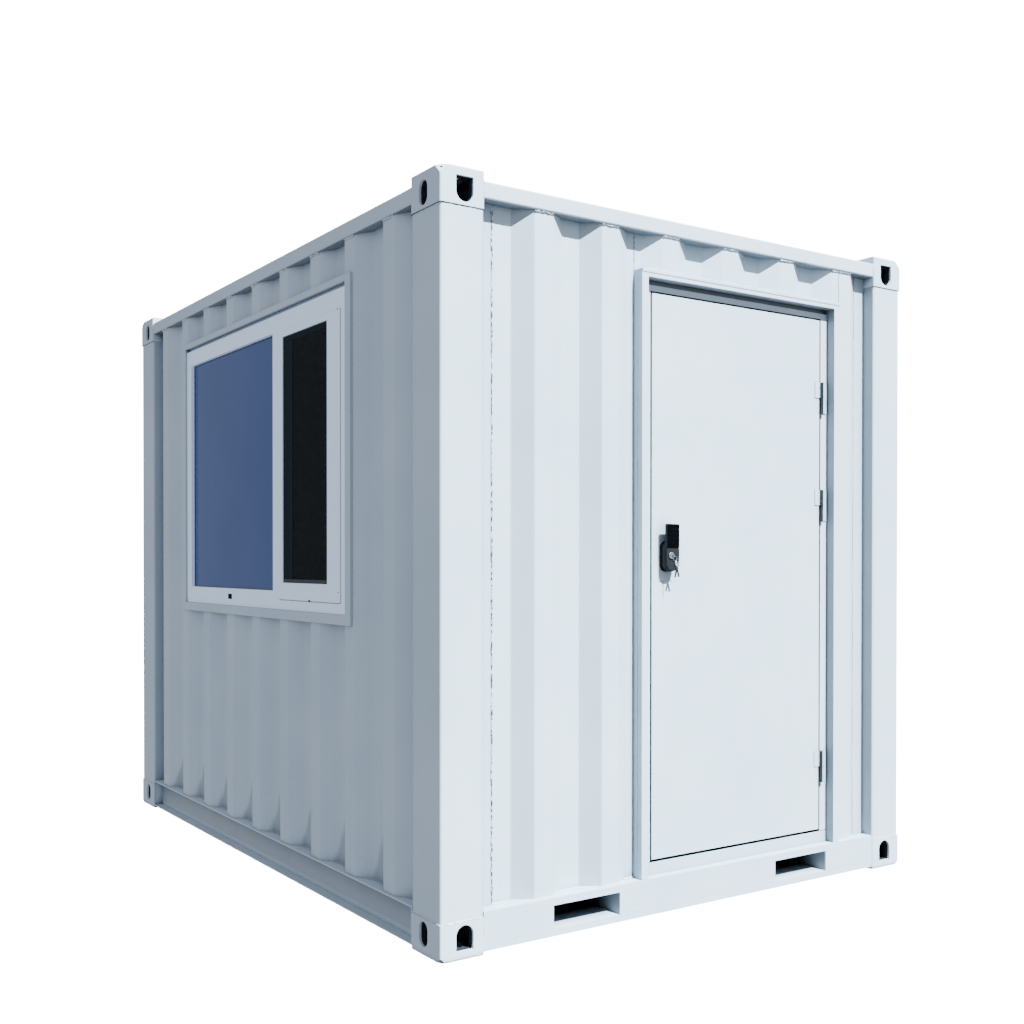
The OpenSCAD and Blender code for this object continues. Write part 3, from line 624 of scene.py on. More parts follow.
# Darker copies of the paint: painted shade on undersides, on the door head, and on faces turned from the
# sun.
UNDERSIDE_SHADE = steel_paint("undersides_painted_shade", tone=0.36)
HEAD_SHADE = steel_paint("door_head_painted_shade", reach=0.04, tone=0.5)
ASIDE_SHADE = steel_paint("returns_painted_shade", reach=0.03, tone=0.40)
FLANK_SHADE = steel_paint("flank_painted_shade", reach=0.03, tone=0.58)
WEB_SHADE = steel_paint("rail_webs_painted_shade", reach=0.01, pattern=web_shade)
SIDE_SHEET = steel_paint("painted_side_sheet", 0.45, 0.10, 0.36, waves=0.10, pattern=dark_foot_wedges)
LEAF = steel_paint("painted_door_leaf", 0.36, 0.07, 0.10, 0.05, (941, 1078, 1160, 4.5), 0.06, True)
CASTING = cast_paint()
SEALANT = blotched("seam_sealant", PAINT, (0.045, 0.05, 0.06), 0.55, (1.0, 3.0, 0.6, (60, 60, 62)),
    (0.46, 0.54), (240.0,), (0.5, 0.8))
WELD = blotched("painted_weld", (0.62, 0.70, 0.77), (0.26, 0.29, 0.32), 0.45, (55.0, 4.0),
    (0.62, 0.72, 0.0, 0.8), (130.0, 4.0, 0.65), (0.7, 1.5))
PVC = pvc()
PANE = tinted_pane()
SMOKED, *_ = pane("dark_pane", (0.02, 0.025, 0.035), 0.05, 0.35)
SCREEN = fly_mesh()
RUBBER = blotched("gasket_rubber", (0.016, 0.018, 0.022), (0.045, 0.048, 0.054), 0.6, (80.0,),
    (0.4, 0.8), (400.0, 2.0), (0.3, 0.2))
# Near-black rubber, and near-black painted shade in gaps and holes.
BLACK_SEAL_AND_SHADE = speckled("black_seal_and_painted_shade", (0.002, 0.0022, 0.0025), (0.004, 0.0042, 0.0045), 0.7, 300.0, shine=0.05)
POCKET_PAINT_AND_SHADE = pocket_paint_and_shade("pocket_paint_and_shade", PAINT)
POCKET_SIDE_SHADE = pocket_paint_and_shade("pocket_side_painted_shade", (0.20, 0.225, 0.25))
LINING = jointed("lining_panel_joints", (0.80, 0.80, 0.78), (0.74, 0.74, 0.72), "XY", 0.95)
DECK = jointed("deck_boards", (0.34, 0.24, 0.15), (0.22, 0.15, 0.09), "Y", 0.61, 0.6, 26.0)
HOUSING = speckled("lock_housing_plastic", (0.0105, 0.0112, 0.0128), (0.015, 0.016, 0.018), 0.5, 380.0,
    shine=0.10)
KEYPAD = speckled("keypad_gloss_black", (0.0006, 0.0008, 0.001), (0.001, 0.0013, 0.0016), 0.16, 60.0,
    shine=0.05)
DIGITS = speckled("keypad_digits", (0.006, 0.0075, 0.009), (0.003, 0.004, 0.005), 0.5, 500.0, shine=0.1)
CHROME = speckled("key_metal", (0.42, 0.43, 0.44), (0.10, 0.10, 0.105), 0.34, 260.0, 0.8)
# Dark steel of the keys; also painted shade on the hinge knuckles.
DARK_STEEL_AND_SHADE = speckled("key_steel_and_knuckle_shade", (0.014, 0.015, 0.016), (0.035, 0.037, 0.04), 0.4, 200.0, 0.3)
HINGE = speckled("hinge_zinc", (0.44, 0.49, 0.53), (0.28, 0.31, 0.34), 0.5, 150.0)
# Near-black painted shade inside the castings.
CAVITY_SHADE = speckled("casting_inside_painted_shade", (0.015, 0.019, 0.025), (0.024, 0.027, 0.032), 0.8, 40.0, 0.0, 0.6, 0.1)
# Dark joints, and thin lines of painted shadow.
DARK_JOINT_AND_SHADOW = speckled("dark_joint_and_painted_shadow", (0.10, 0.11, 0.125), (0.20, 0.22, 0.25), 0.7, 90.0, shine=0.2)
# Painted shade: the sash seen through the fly screen.
STILE_SHADE = speckled("stile_painted_shade", (0.005, 0.01, 0.017), (0.007, 0.013, 0.021), 0.7, 300.0,
    shine=0.1)
STILE_EDGE_SHADE = speckled("stile_edge_painted_shade", (0.011, 0.017, 0.026), (0.008, 0.013, 0.020), 0.7, 300.0,
    shine=0.1)
# Pale joints, and thin lines of painted shadow.
PALE_JOINT_AND_SHADOW = speckled("pale_joint_and_painted_shadow", (0.22, 0.25, 0.29), (0.34, 0.38, 0.42), 0.7, 90.0, shine=0.2)


# ---- camera, light and floor

EYE = (4.4849, -2.9553, 1.2303)
TILT = math.radians(89.524)
HEADING = math.radians(56.733)
LENS = 41.30
SHIFT_ACROSS = 0.0362
SHIFT_UP = 0.0570
SUN_RISE = math.radians(51.7)
SUN_SIDE = math.radians(10)
GLOW = 17.0


def main_camera():
    data = bpy.data.cameras.new("camera")
    camera = placed("camera", data)
    camera.location = EYE
    camera.rotation_euler = (TILT, 0, HEADING)
    data.lens = LENS
    data.shift_x = SHIFT_ACROSS
    data.shift_y = SHIFT_UP
    data.dof.use_dof = False
    bpy.context.scene.camera = camera


def sun_light():
    """High sun in front of the door end, a little to its right."""
    data = bpy.data.lights.new("key_light", "SUN")
    data.energy = 26.0
    data.angle = math.radians(1.5)
    data.color = (0.79, 0.955, 1.06)
    light = placed("key_light", data)
    level = math.cos(SUN_RISE)
    towards = Vector((level * math.cos(SUN_SIDE), level * math.sin(SUN_SIDE), math.sin(SUN_RISE)))
    light.rotation_mode = "QUATERNION"
    light.rotation_quaternion = towards.to_track_quat("Z", "Y")


def sky():
    """Soft bluish light from all round, in front of a plain white backdrop."""
    world = bpy.data.worlds.new("studio")
    bpy.context.scene.world = world
    world.use_nodes = True
    tree = world.node_tree
    tree.nodes.clear()
    lit = new_node(tree, "Background", Color=(0.735, 0.822, 0.945, 1), Strength=0.76)
    seen = new_node(tree, "Background", Color=(1, 1, 1, 1), Strength=GLOW)
    path = new_node(tree, "LightPath")
    either = new_node(tree, "MixShader")
    end = new_node(tree, "OutputWorld")
    tree.links.new(path.outputs["Is Camera Ray"], either.inputs["Fac"])
    tree.links.new(lit.outputs["Background"], either.inputs[1])
    tree.links.new(seen.outputs["Background"], either.inputs[2])
    tree.links.new(either.outputs["Shader"], end.inputs["Surface"])


def floor_finish():
    finish, tree, shader = new_finish("pale_floor", (0.85, 0.86, 0.87), 0.8)
    tone = spread(tree, clouds(tree, 0.7), 0.3, 0.7)
    coat(tree, shader, mixed(tree, tone, (0.84, 0.85, 0.86), (0.88, 0.89, 0.90)))
    set_inputs(shader, Emission_Color=(1, 1, 1, 1), Emission_Strength=GLOW)
    return finish


def studio_floor():
    let_go()
    bpy.ops.mesh.primitive_grid_add(x_subdivisions=8, y_subdivisions=8, size=160)
    floor = bpy.context.object
    floor.name = "studio_floor"
    paint_with(floor, floor_finish())
    floor.visible_diffuse = False
    floor.visible_glossy = False
    floor.visible_transmission = False


# ---- frame of the container

# Depths and heights on a face of the container, in millimetres.
CASTING_LONG = 178
CASTING_SHORT = 162
CASTING_TALL = 118
CAVITY_RIM = 6
MOUTH = 8.5
POST_FACE = 3.4
SEAM_DEPTH = 50.6
CREST_DEPTH = 13
SHEET_FOOT = 137
CASING_TOP = 2231
RAIL_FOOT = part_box("top_end_rails")[0].z / MM
END_WIDTH = round(WIDTH / MM)
SIDE_WIDTH = round(LENGTH / MM)

# In metres: where a face counts as high up, and how deep the door end reaches.
HIGH_UP = 2.0
END_DEPTH = 0.12

# Name, face, width of the casting, width of the post's flange, width of the face.
FACES = (("door_end", on_end, CASTING_SHORT, 62, END_WIDTH),
    ("rear_end", on_rear, CASTING_SHORT, 62, END_WIDTH),
    ("window_side", on_side, CASTING_LONG, 22, SIDE_WIDTH),
    ("plain_side", on_plain, CASTING_LONG, 22, SIDE_WIDTH))

WALLS = {"window_wall_front": on_side, "window_wall_rear": on_side, "window_wall_above": on_side,
    "window_wall_below": on_side, "plain_side_wall": on_plain, "rear_end_wall": on_rear,
    "door_wall_left": on_end, "door_wall_header": on_end, "door_wall_right": on_end}


def cut_outer_corners(piece, outer_z, cut):
    """Takes the outermost corner off each casting, as the blunt cast corners have it."""
    up = 1 if outer_z > HEIGHT / 2 else -1
    for east in (1, -1):
        for north in (1, -1):
            way = Vector((east, north, up)).normalized()
            corner = Vector((east * LENGTH / 2, north * WIDTH / 2, outer_z))
            slice_mesh(piece, corner - way * cut * MM / math.sqrt(3), way, use_fill=True,
                clear_outer=True)


def mark_mouths(piece, outer_z):
    """Edge loops just inside every aperture of the castings, where the painted shade inside begins."""
    for way, half in ((Vector((1, 0, 0)), LENGTH / 2), (Vector((0, 1, 0)), WIDTH / 2)):
        for side in (1, -1):
            slice_mesh(piece, way * side * (half - MOUTH * MM), way)
    slice_mesh(piece, Vector((0, 0, abs(outer_z - MOUTH * MM))), Vector((0, 0, 1)))


def shade_cavities(piece, outer_z):
    """Near-black painted shade on the faces inside the castings, behind their mouths."""
    limits = [(size - CAVITY_RIM) * MM for size in (CASTING_LONG, CASTING_SHORT, CASTING_TALL)]

    def inside(face):
        depths = (LENGTH / 2 - abs(face.center.x), WIDTH / 2 - abs(face.center.y),
            abs(face.center.z - outer_z))
        return min(depths) > MOUTH * MM and all(d < limit for d, limit in zip(depths, limits))

    repaint(piece, CAVITY_SHADE, inside)


def cast_corners(name, node, outer_z, blunt):
    """Corner castings with rounded edges, blunt outer corners and painted shade inside."""
    piece = merged_copy(name, node)
    cut_outer_corners(piece, outer_z, blunt)
    mark_mouths(piece, outer_z)

    def rim(edge):
        a, b = (v.co for v in edge.verts)
        if min(abs(a.z - outer_z), abs(b.z - outer_z)) > 0.0005 or abs(a.z - b.z) > 0.0005:
            return False
        middle = (a + b) / 2
        return min(LENGTH / 2 - abs(middle.x), WIDTH / 2 - abs(middle.y)) < 0.007

    bevel_edges(piece, rim, 6, 3)
    soften(piece, 2.5, 2, 40)
    fit(piece, CASTING)
    shade_cavities(piece, outer_z)
    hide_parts(node)


def softened_part(name, node, width, finish=STEEL, segments=2, body=CONTAINER):
    """A fixed part with its edges rounded as folded or ground steel has them."""
    piece = merged_copy(name, node)
    fit_soft(piece, width, segments, finish, body)
    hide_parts(node)
    return piece


def looks_down(face):
    return face.normal.z < -0.9 and face.center.z > HIGH_UP


def looks_aside(face):
    """Faces of the door end's pieces that are turned away from the sun."""
    return face.normal.y < -0.8 and face.center.x > LENGTH / 2 - END_DEPTH


def bent_sheet(node):
    """A wall sheet whose folds are pressed round instead of sharp, with painted shade on the door end's
    slopes that face away from the sun.
    """
    piece = merged_copy(node + "_sheet", node)

    def fold(edge):
        if abs(edge_way(edge).z) < 0.99 or len(edge.link_faces) != 2:
            return False
        return 10 < math.degrees(edge.calc_face_angle(0.0)) < 60

    def slope(face):
        slanted = abs(face.normal.z) < 0.5 and max(abs(face.normal.x), -face.normal.y) < 0.975
        return node in ("door_wall_left", "door_wall_right") and slanted and face.normal.y < -0.2

    bevel_edges(piece, fold, 4.5, 3, clamp_overlap=True)
    pick(piece)
    bpy.ops.object.shade_smooth_by_angle(angle=math.radians(20))
    fit(piece, SIDE_SHEET if "window_wall" in node else SHEET)
    # Painted shade on the door end's slopes turned from the sun.
    repaint(piece, SLOPE_SHADE, slope)
    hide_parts(node)


def foot_weld(node, proud, finish):
    """The fillet of weld and sealant along the foot of a wall sheet."""
    piece = merged_copy(node + "_foot_weld", node)
    for level, keep_low in ((SHEET_FOOT + 3, True), (SHEET_FOOT - 7, False)):
        slice_mesh(piece, (0, 0, level * MM), (0, 0, 1), use_fill=True, clear_outer=keep_low,
            clear_inner=not keep_low)
    open_mesh(piece)
    choose(piece, "FACE", lambda face: abs(face.normal.z) < 0.5)
    bpy.ops.mesh.select_mode(type="VERT")
    bpy.ops.transform.shrink_fatten(value=proud * MM)
    close_mesh()
    soften(piece, proud * 0.5, 2, 50)
    fit(piece, finish)


def bead(name, start, end, radius, seed, lumps, step, finish=WELD):
    """A lumpy run of weld or sealant between two points."""
    run = end - start
    way = run.normalized()
    let_go()
    bpy.ops.mesh.primitive_cylinder_add(vertices=6, radius=radius * MM, depth=run.length)
    bpy.context.object.rotation_mode = "QUATERNION"
    bpy.context.object.rotation_quaternion = run.to_track_quat("Z", "Y")
    bpy.context.object.location = (start + end) / 2
    piece = settled(name)
    open_mesh(piece)
    choose(piece, "EDGE", lambda edge: abs(edge_way(edge).dot(way)) > 0.99)
    bpy.ops.mesh.subdivide(number_cuts=max(3, int(run.length / MM / step)))
    take_all()
    bpy.ops.transform.vertex_random(offset=radius * lumps * MM, uniform=1.0, seed=seed)
    close_mesh()
    smooth(piece, 80)
    return fit(piece, finish)


def crest_spans(node, face):
    """Where the crests of a wall sheet start and end along its face, in millimetres."""
    origin = face(0, 0, 0)
    across, inwards = ways(face)
    places = set()
    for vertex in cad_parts[node].data.vertices:
        offset = (vertex.co - origin) / MM
        if abs(offset.dot(inwards) - CREST_DEPTH) < 0.3:
            places.add(round(offset.dot(across)))
    places = sorted(places)
    return list(zip(places[0::2], places[1::2]))


def crest_welds(node, face):
    """Weld fillets between the crests of a wall sheet and the rail over them."""
    depth = CREST_DEPTH - 1.6
    height = RAIL_FOOT - 2
    runs = [bead("run", face(m0 + 2, depth, height), face(m1 - 2, depth, height), 3.4, 300 + order,
        0.6, 8.0) for order, (m0, m1) in enumerate(crest_spans(node, face)) if m1 - m0 > 12]
    joined(node + "_crest_welds", runs)


def rail_foot_shadows():
    """Dark strips along the lower edges of the bottom rails: painted shadow."""
    for name, face, casting, _, width in FACES:
        edge = block("rail_foot_shadow_" + name, face, casting + 2, width - casting - 2, POST_FACE, 9,
            12.6, 15.4)
        fit_soft(edge, 0.8, 2, DARK_JOINT_AND_SHADOW)


def wall_seams():
    """Upright seams between the posts' flanges and the wall sheets; one is painted over."""
    for order, (name, face, casting, flange, width) in enumerate(FACES):
        inset = casting + flange - 2
        for side, m in enumerate((inset, width - inset)):
            covered = name == "door_end" and side == 1
            bead("seam_%s_%d" % (name, side), face(m, SEAM_DEPTH, SHEET_FOOT),
                face(m, SEAM_DEPTH, RAIL_FOOT), 1.2 if covered else 2.6, 11 + 2 * order + side,
                0.8, 7.0, STEEL if covered else SEALANT)


def casting_welds():
    """Weld runs where the posts and rails meet the castings, and a dark run under each top casting that
    paints its shadow.
    """
    for order, (name, face, casting, _, width) in enumerate(FACES):
        runs = []
        for side, (m0, m1) in enumerate(((8, casting - 1), (width - casting + 1, width - 8))):
            seed = 4 * order + 2 * side
            runs.append(bead("run", face(m0, 4.1, 119.5), face(m1, 4.1, 119.5), 2.6, 40 + seed,
                0.5, 6.0))
            # Dark run under the top casting: painted shadow.
            runs.append(bead("run", face(m0, POST_FACE, 2319), face(m1, POST_FACE, 2319), 2.0,
                41 + seed, 0.6, 6.0, DARK_JOINT_AND_SHADOW))
        for side, m in enumerate((casting + 1, width - casting - 1)):
            for level, (z0, z1) in enumerate(((14, 133), (RAIL_FOOT + 3, 2406))):
                runs.append(bead("run", face(m, POST_FACE, z0), face(m, POST_FACE, z1), 2.0,
                    70 + 4 * order + 2 * side + level, 0.4, 6.0))
        joined("casting_welds_%s" % name, runs)


def folded_posts():
    """Corner posts: tight outer corners, wide bends where the faces turn in to the walls."""
    piece = merged_copy("folded_posts", "corner_posts")

    def inner_bend(edge):
        start = edge.verts[0].co
        away_x = (LENGTH / 2 - abs(start.x)) / MM
        away_y = (WIDTH / 2 - abs(start.y)) / MM
        end_face = away_x < 4 and 120 < away_y < CASTING_SHORT + 1
        side_face = away_y < 4 and 120 < away_x < CASTING_LONG + 1
        return abs(edge_way(edge).z) >= 0.99 and (end_face or side_face)

    bevel_edges(piece, inner_bend, 8, 4, clamp_overlap=True)
    fit_soft(piece, 1.6, 2, STEEL)
    # Darker coat on the far post's faces turned from the sun: painted shade.
    repaint(piece, ASIDE_SHADE, lambda face: looks_aside(face) and face.center.y > 0.8)
    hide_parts("corner_posts")


def steel_frame():
    cast_corners("cast_corners_top", "top_corner_castings", HEIGHT, 34)
    cast_corners("cast_corners_bottom", "bottom_corner_castings", 0.0, 20)
    folded_posts()
    # Darker coat on the top rails' faces that look down: painted shade.
    repaint(softened_part("side_rails_top", "top_side_rails", 1.2), UNDERSIDE_SHADE, looks_down)
    repaint(softened_part("end_rails_top", "top_end_rails", 1.2), UNDERSIDE_SHADE, looks_down)
    lower = softened_part("side_rails_bottom", "bottom_side_rails", 1.8, RAIL)
    # The bottom rails' webs get painted shade, darker up under the flange.
    repaint(lower, WEB_SHADE, lambda face: abs(face.normal.y) > 0.3 and face.center.z < 0.125)
    softened_part("sill_rails_bottom", "end_sill_rails", 0.5, RAIL)
    sleeves = softened_part("pocket_sleeves", "fork_pockets", 0.5, POCKET_PAINT_AND_SHADE)
    # Darker coat on the pockets' sides and tops: painted shade.
    repaint(sleeves, POCKET_SIDE_SHADE, lambda face: face.normal.z < 0.5 and abs(face.normal.x) < 0.9)
    softened_part("under_floor_channels", "floor_cross_members", 1.2)
    casting_welds()
    wall_seams()
    rail_foot_shadows()


def walls():
    for node in WALLS:
        bent_sheet(node)
    for node, face in WALLS.items():
        if node not in ("window_wall_above", "door_wall_header"):
            at_end = face in (on_end, on_rear)
            foot_weld(node, 2.2 if at_end else 0.8, WELD if at_end else SHEET)
    for node, face in WALLS.items():
        if node != "window_wall_below":
            crest_welds(node, face)
    bead("seam_over_lock_side", on_end(813, SEAM_DEPTH, CASING_TOP),
        on_end(813, SEAM_DEPTH, RAIL_FOOT), 1.3, 91, 0.8, 6.0, SEALANT)
    bead("seam_over_hinge_side", on_end(1823, 12.6, CASING_TOP),
        on_end(1823, 12.6, RAIL_FOOT), 0.9, 92, 0.8, 6.0, DARK_JOINT_AND_SHADOW)


def roof_and_inside():
    softened_part("pressed_roof", "roof_panel", 1.5)
    for node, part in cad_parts.items():
        if node.startswith(("ceiling_", "lining_")):
            paint_with(part, LINING)
    paint_with(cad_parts["floor_deck"], DECK)


# ---- window

def hole_of(node, rim=0):
    """The outline (m0, m1, z0, z1) of a fixed part of the window, drawn in by a rim."""
    m0, m1, *_, z0, z1 = extent(node)
    return m0 + rim, m1 - rim, z0 + rim, z1 - rim


def window_reveal():
    """Steel reveal with a welded face flange, a drip rail and a sill."""
    m0, m1, d0, d1, z0, z1 = extent("window_surround")
    h0, h1, low, frame_top = hole_of("window_frame")
    high = frame_top + 14
    hole = (h0, h1, low, high)
    flange = pierced("window_reveal", on_side, (m0, m1, d0, d0 + 4, z0, z1), [hole])
    soften(flange, 1.2)
    tube = pierced("reveal_tube", on_side, (h0 - 4, h1 + 4, d0 + 4, d1, low - 4, high + 4), [hole])
    soften(tube, 0.8)
    filler = block("reveal_filler", on_side, h0, h1, 22, 51, frame_top, high)
    soften(filler, 0.6, 1)
    cheeks = [block("cheek", on_side, m, m + 3, d0 + 3, 50.5, z0 + 1, z1 - 1)
        for m in (m0 + 0.5, m1 - 3.5)]
    piece = joined("window_reveal", [flange, tube, filler] + cheeks)
    fit(piece, RAIL)
    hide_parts("window_surround")


def window_profile():
    """Plastic window frame with its mullion and the raised bead that holds the fixed pane."""
    outer = extent("window_frame")
    openings = [hole_of("fixed_glass"), hole_of("sliding_sash")]
    bars = pierced("window_profile", on_side, outer, openings)
    soften(bars, 2.5, 3)
    m0, m1, z0, z1 = hole_of("fixed_glass", -13)
    hold = pierced("glazing_bead", on_side, (m0, m1, outer[2] - 2.5, outer[2] + 4, z0, z1),
        openings[:1])
    soften(hold, 1.6, 3)
    piece = joined("window_profile", [bars, hold])
    fit(piece, PVC)
    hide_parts("window_frame")


def pane_gasket():
    """Black rubber between the bead and the fixed pane."""
    m0, m1, d0, _, z0, z1 = extent("fixed_glass")
    hole = hole_of("fixed_glass", 4)
    piece = pierced("pane_gasket", on_side, (m0, m1, d0 - 3, d0, z0, z1), [hole])
    fit_soft(piece, 0.6, 2, DARK_JOINT_AND_SHADOW)


def reveal_joints():
    """Shrunk sealant where the window frame meets the reveal on its near side."""
    m0, _, d0, _, z0, z1 = extent("window_frame")
    piece = block("reveal_joints", on_side, m0, m0 + 2.5, 5, d0 + 0.6, z0, z1)
    fit_soft(piece, 0.5, 1, PALE_JOINT_AND_SHADOW)


def drain_slot():
    """Drain hole of the window frame, with its thin cover."""
    m0, m1, z0, z1 = 1708, 1752, 1067, 1089
    front = extent("window_frame")[2]
    # A black block paints the shade inside the drain hole.
    hole = block("drain_hole", on_side, m0, m1, front - 0.4, front + 1, z0, z1)
    fit_soft(hole, 0.5, 2, BLACK_SEAL_AND_SHADE)
    cover = pierced("drain_cover", on_side, (m0 - 3, m1 + 3, front - 0.8, front + 1, z0 - 3,
        z1 + 3), [(m0, m1, z0, z1)])
    fit_soft(cover, 0.6, 2, PVC)


def screen_profile():
    """Frame of the fly screen, lapping over the window frame."""
    m0, m1, d0, d1, z0, z1 = extent("screen_frame")
    b0, b1, low, high = hole_of("sliding_sash")
    hole = [hole_of("fly_screen")]
    lap = pierced("screen_profile", on_side, (m0, m1, d0, d0 + 4, z0, z1), hole)
    soften(lap, 1.5, 3)
    core = pierced("screen_core", on_side, (b0, b1, d0 + 4, d1, low, high), hole)
    piece = joined("screen_profile", [lap, core])
    fit(piece, PVC)
    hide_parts("screen_frame")


def screen_fittings():
    """Thin lines of painted shadow round the fly screen's lap, and its clips, latch and spline."""
    m0, m1, d0, _, z0, z1 = extent("screen_frame")
    # Three thin lines along the lap's edges: painted shadow.
    runs = [block("run", on_side, m0, m1, d0 + 3.2, d0 + 4.1, z0 - 3.5, z0 + 1),
        block("run", on_side, m0 - 3, m0 + 1, d0 + 3.2, d0 + 4.1, z0, z1),
        block("run", on_side, m0, m1, d0 + 3.4, d0 + 4.1, z1 - 1, z1 + 1.5)]
    for m, z in ((700, 1118), (703, 2118)):
        runs.append(block("run", on_side, m - 7, m + 4, d0 - 0.5, d0 + 1, z - 2, z + 2))
    fit_soft(joined("screen_shadows_and_clips", runs), 0.4, 1, PALE_JOINT_AND_SHADOW)
    latch = block("screen_latch", on_side, 930, 944, d0 - 1.5, d0 + 3, z0 - 3, z0 + 4)
    m0, m1, d0, _, z0, z1 = extent("fly_screen")
    spline = pierced("screen_spline", on_side, (m0, m1, d0 - 1.5, d0 + 0.5, z0, z1),
        [(m0 + 4, m1 - 4, z0 + 14, z1 - 4)])
    piece = joined("screen_latch", [latch, spline])
    fit_soft(piece, 0.6, 2, RUBBER)


def sash_shade_on_screen():
    """Thin dark sheets on the fly screen: painted shade for the sash's stile and head seen through the
    mesh, with a less dark strip at the stile's inner edge.
    """
    m0, m1, d0, _, z0, z1 = extent("fly_screen")
    back = d0 - 0.6
    inner = m1 - 84
    stile = block("stile_shade_sheet", on_side, inner, m1 - 4, back, back + 0.4, z0 + 14, z1 - 4)
    head = block("head_shade_sheet", on_side, m0 + 4, inner, back, back + 0.4, z1 - 24, z1 - 4)
    piece = joined("sash_shade_on_screen", [stile, head])
    fit_soft(piece, 0.15, 1, STILE_SHADE)
    line = block("stile_edge_shade_sheet", on_side, inner, m1 - 64, back - 0.4, back, z0 + 14, z1 - 26)
    fit_soft(line, 0.15, 1, STILE_EDGE_SHADE)


def sash_profile():
    """Sliding sash behind the fly screen."""
    piece = pierced("sash_profile", on_side, extent("sliding_sash"), [hole_of("sash_glass")])
    fit_soft(piece, 2.5, 3, PVC)
    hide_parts("sliding_sash")


def window():
    window_reveal()
    window_profile()
    pane_gasket()
    reveal_joints()
    drain_slot()
    screen_profile()
    screen_fittings()
    sash_shade_on_screen()
    sash_profile()
    for node, finish in (("fixed_glass", PANE), ("sash_glass", SMOKED), ("fly_screen", SCREEN)):
        paint_with(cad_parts[node], finish)


# ---- door

# Distance past the near corner, depth and height, in millimetres.
HINGE_AXIS = 1757
BARREL = (944.5, 2.5, 1248)
PLUG = (948.5, 1.2, 1245)
RING = (960, 2.3, 1237)
FRONT_BOW = (968, 2.8, 1219)
BACK_BOW = (972.5, 3.6, 1213)
FRONT_BLADE = (968.5, 2.0, 1208)
BACK_BLADE = (970.5, 3.4, 1206)
BODY_FOOT = 1193
BODY_TOP = 1297
COVER_FRONT = 4.6


def door_frame():
    casing = softened_part("door_casing", "door_outer_frame", 2.0, CASING)
    # Darker coats: painted shade on the casing's underside and faces turned from the sun, and on the
    # jamb's head band.
    repaint(casing, HEAD_SHADE, looks_down)
    repaint(casing, ASIDE_SHADE, looks_aside)
    repaint(casing, FLANK_SHADE, lambda face: looks_aside(face) and face.center.y < 0)
    jamb = softened_part("door_jamb", "door_jamb_frame", 1.5, CASING)
    repaint(jamb, HEAD_SHADE, lambda face: face.center.z > 2.16)
    repaint(jamb, ASIDE_SHADE, looks_aside)
    sill = softened_part("door_sill", "door_threshold", 1.5)
    # Black on the sill's top: painted shade in the gap under the leaf.
    repaint(sill, BLACK_SEAL_AND_SHADE, lambda face: face.normal.z > 0.3)
    m0, m1, d0, _, z0, z1 = extent("door_outer_frame", on_end)
    trim = block("casing_head_trim", on_end, m0 + 1, m1 - 1, d0 - 2, d0 + 1, z1 - 12, z1 - 1)
    fit_soft(trim, 0.9, 2, STEEL)
    bead("casing_head_weld", on_end(m0 + 3, d0 + 3, z1), on_end(m1 - 3, d0 + 3, z1), 1.8,
        131, 0.5, 7.0)
    bead("casing_side_seam", on_end(m0, 30, z0 + 2), on_end(m0, 30, z1 - 3), 0.9, 133,
        0.8, 9.0, PALE_JOINT_AND_SHADOW)


def shade_leaf_gaps(leaf):
    """Near black on the leaf's edges behind the rounding of its front, and on the rounding under it:
    painted shade in the gaps round the leaf.
    """
    front = max(vertex.co.x for vertex in leaf.data.vertices)

    def edge(face):
        behind = max(abs(face.normal.x), face.normal.z) < 0.3 and face.center.x < front - 0.002
        return behind or face.normal.z < -0.25

    repaint(leaf, BLACK_SEAL_AND_SHADE, edge)


def painted_hinges(name, node, body):
    """Hinge halves: zinc knuckles with painted shade on the sides turned from the sun and on their ends,
    between plates painted with the steel.
    """
    def past_axis(face):
        return (face.center.y + WIDTH / 2) / MM - HINGE_AXIS

    def plate(face):
        return abs(past_axis(face)) > 9.2

    def shaded_knuckle(face):
        return not plate(face) and (past_axis(face) < -4.5 or abs(face.normal.z) > 0.9)

    piece = merged_copy(name, node)
    fit_soft(piece, 0.5, 2, HINGE, body)
    repaint(piece, LEAF, plate)
    # Painted shade on the knuckles' sides turned from the sun and their ends.
    repaint(piece, DARK_STEEL_AND_SHADE, shaded_knuckle)
    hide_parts(node)


def sweep_foot(cover, front, top):
    """Takes the front edge off the foot of the lock's cover."""
    def wanted(edge):
        return all(abs(v.co.x - front) < 0.0002 and v.co.z < top for v in edge.verts)

    bevel_edges(cover, wanted, 8, 4, clamp_overlap=True)


def lock_housing():
    """Housing with round ends on a rubber gasket, and the painted plate behind it."""
    p0, p1, _, back, z0, z1 = extent("lock_body", on_end)
    m0, m1, *_, keypad_foot, _ = extent("lock_keypad", on_end)
    plate = block("lock_back_plate", on_end, p0, p1, back - 2, back, z0, z1)
    round_corners(plate, 5)
    fit_soft(plate, 0.6, 2, LEAF, DOOR)
    gasket = block("lock_gasket", on_end, m0 - 1.5, m1 + 1.5, 28, back - 1.5, BODY_FOOT - 1.5,
        BODY_TOP + 1.5)
    round_corners(gasket, 25, 12)
    fit_soft(gasket, 0.8, 2, BLACK_SEAL_AND_SHADE, DOOR)
    body = block("lock_housing", on_end, m0, m1, 13.5, 29, BODY_FOOT, BODY_TOP)
    round_corners(body, 24, 12)
    soften(body, 1.8, 3)
    cover = block("lock_cover", on_end, m0 + 1, m1 - 1, COVER_FRONT, 14, BODY_FOOT + 1,
        keypad_foot)
    round_corners(cover, 24, 12, 1.2)
    sweep_foot(cover, LENGTH / 2 - COVER_FRONT * MM, 1.222)
    soften(cover, 1.2)
    piece = joined("lock_housing", [body, cover])
    fit(piece, HOUSING, DOOR)
    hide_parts("lock_body")


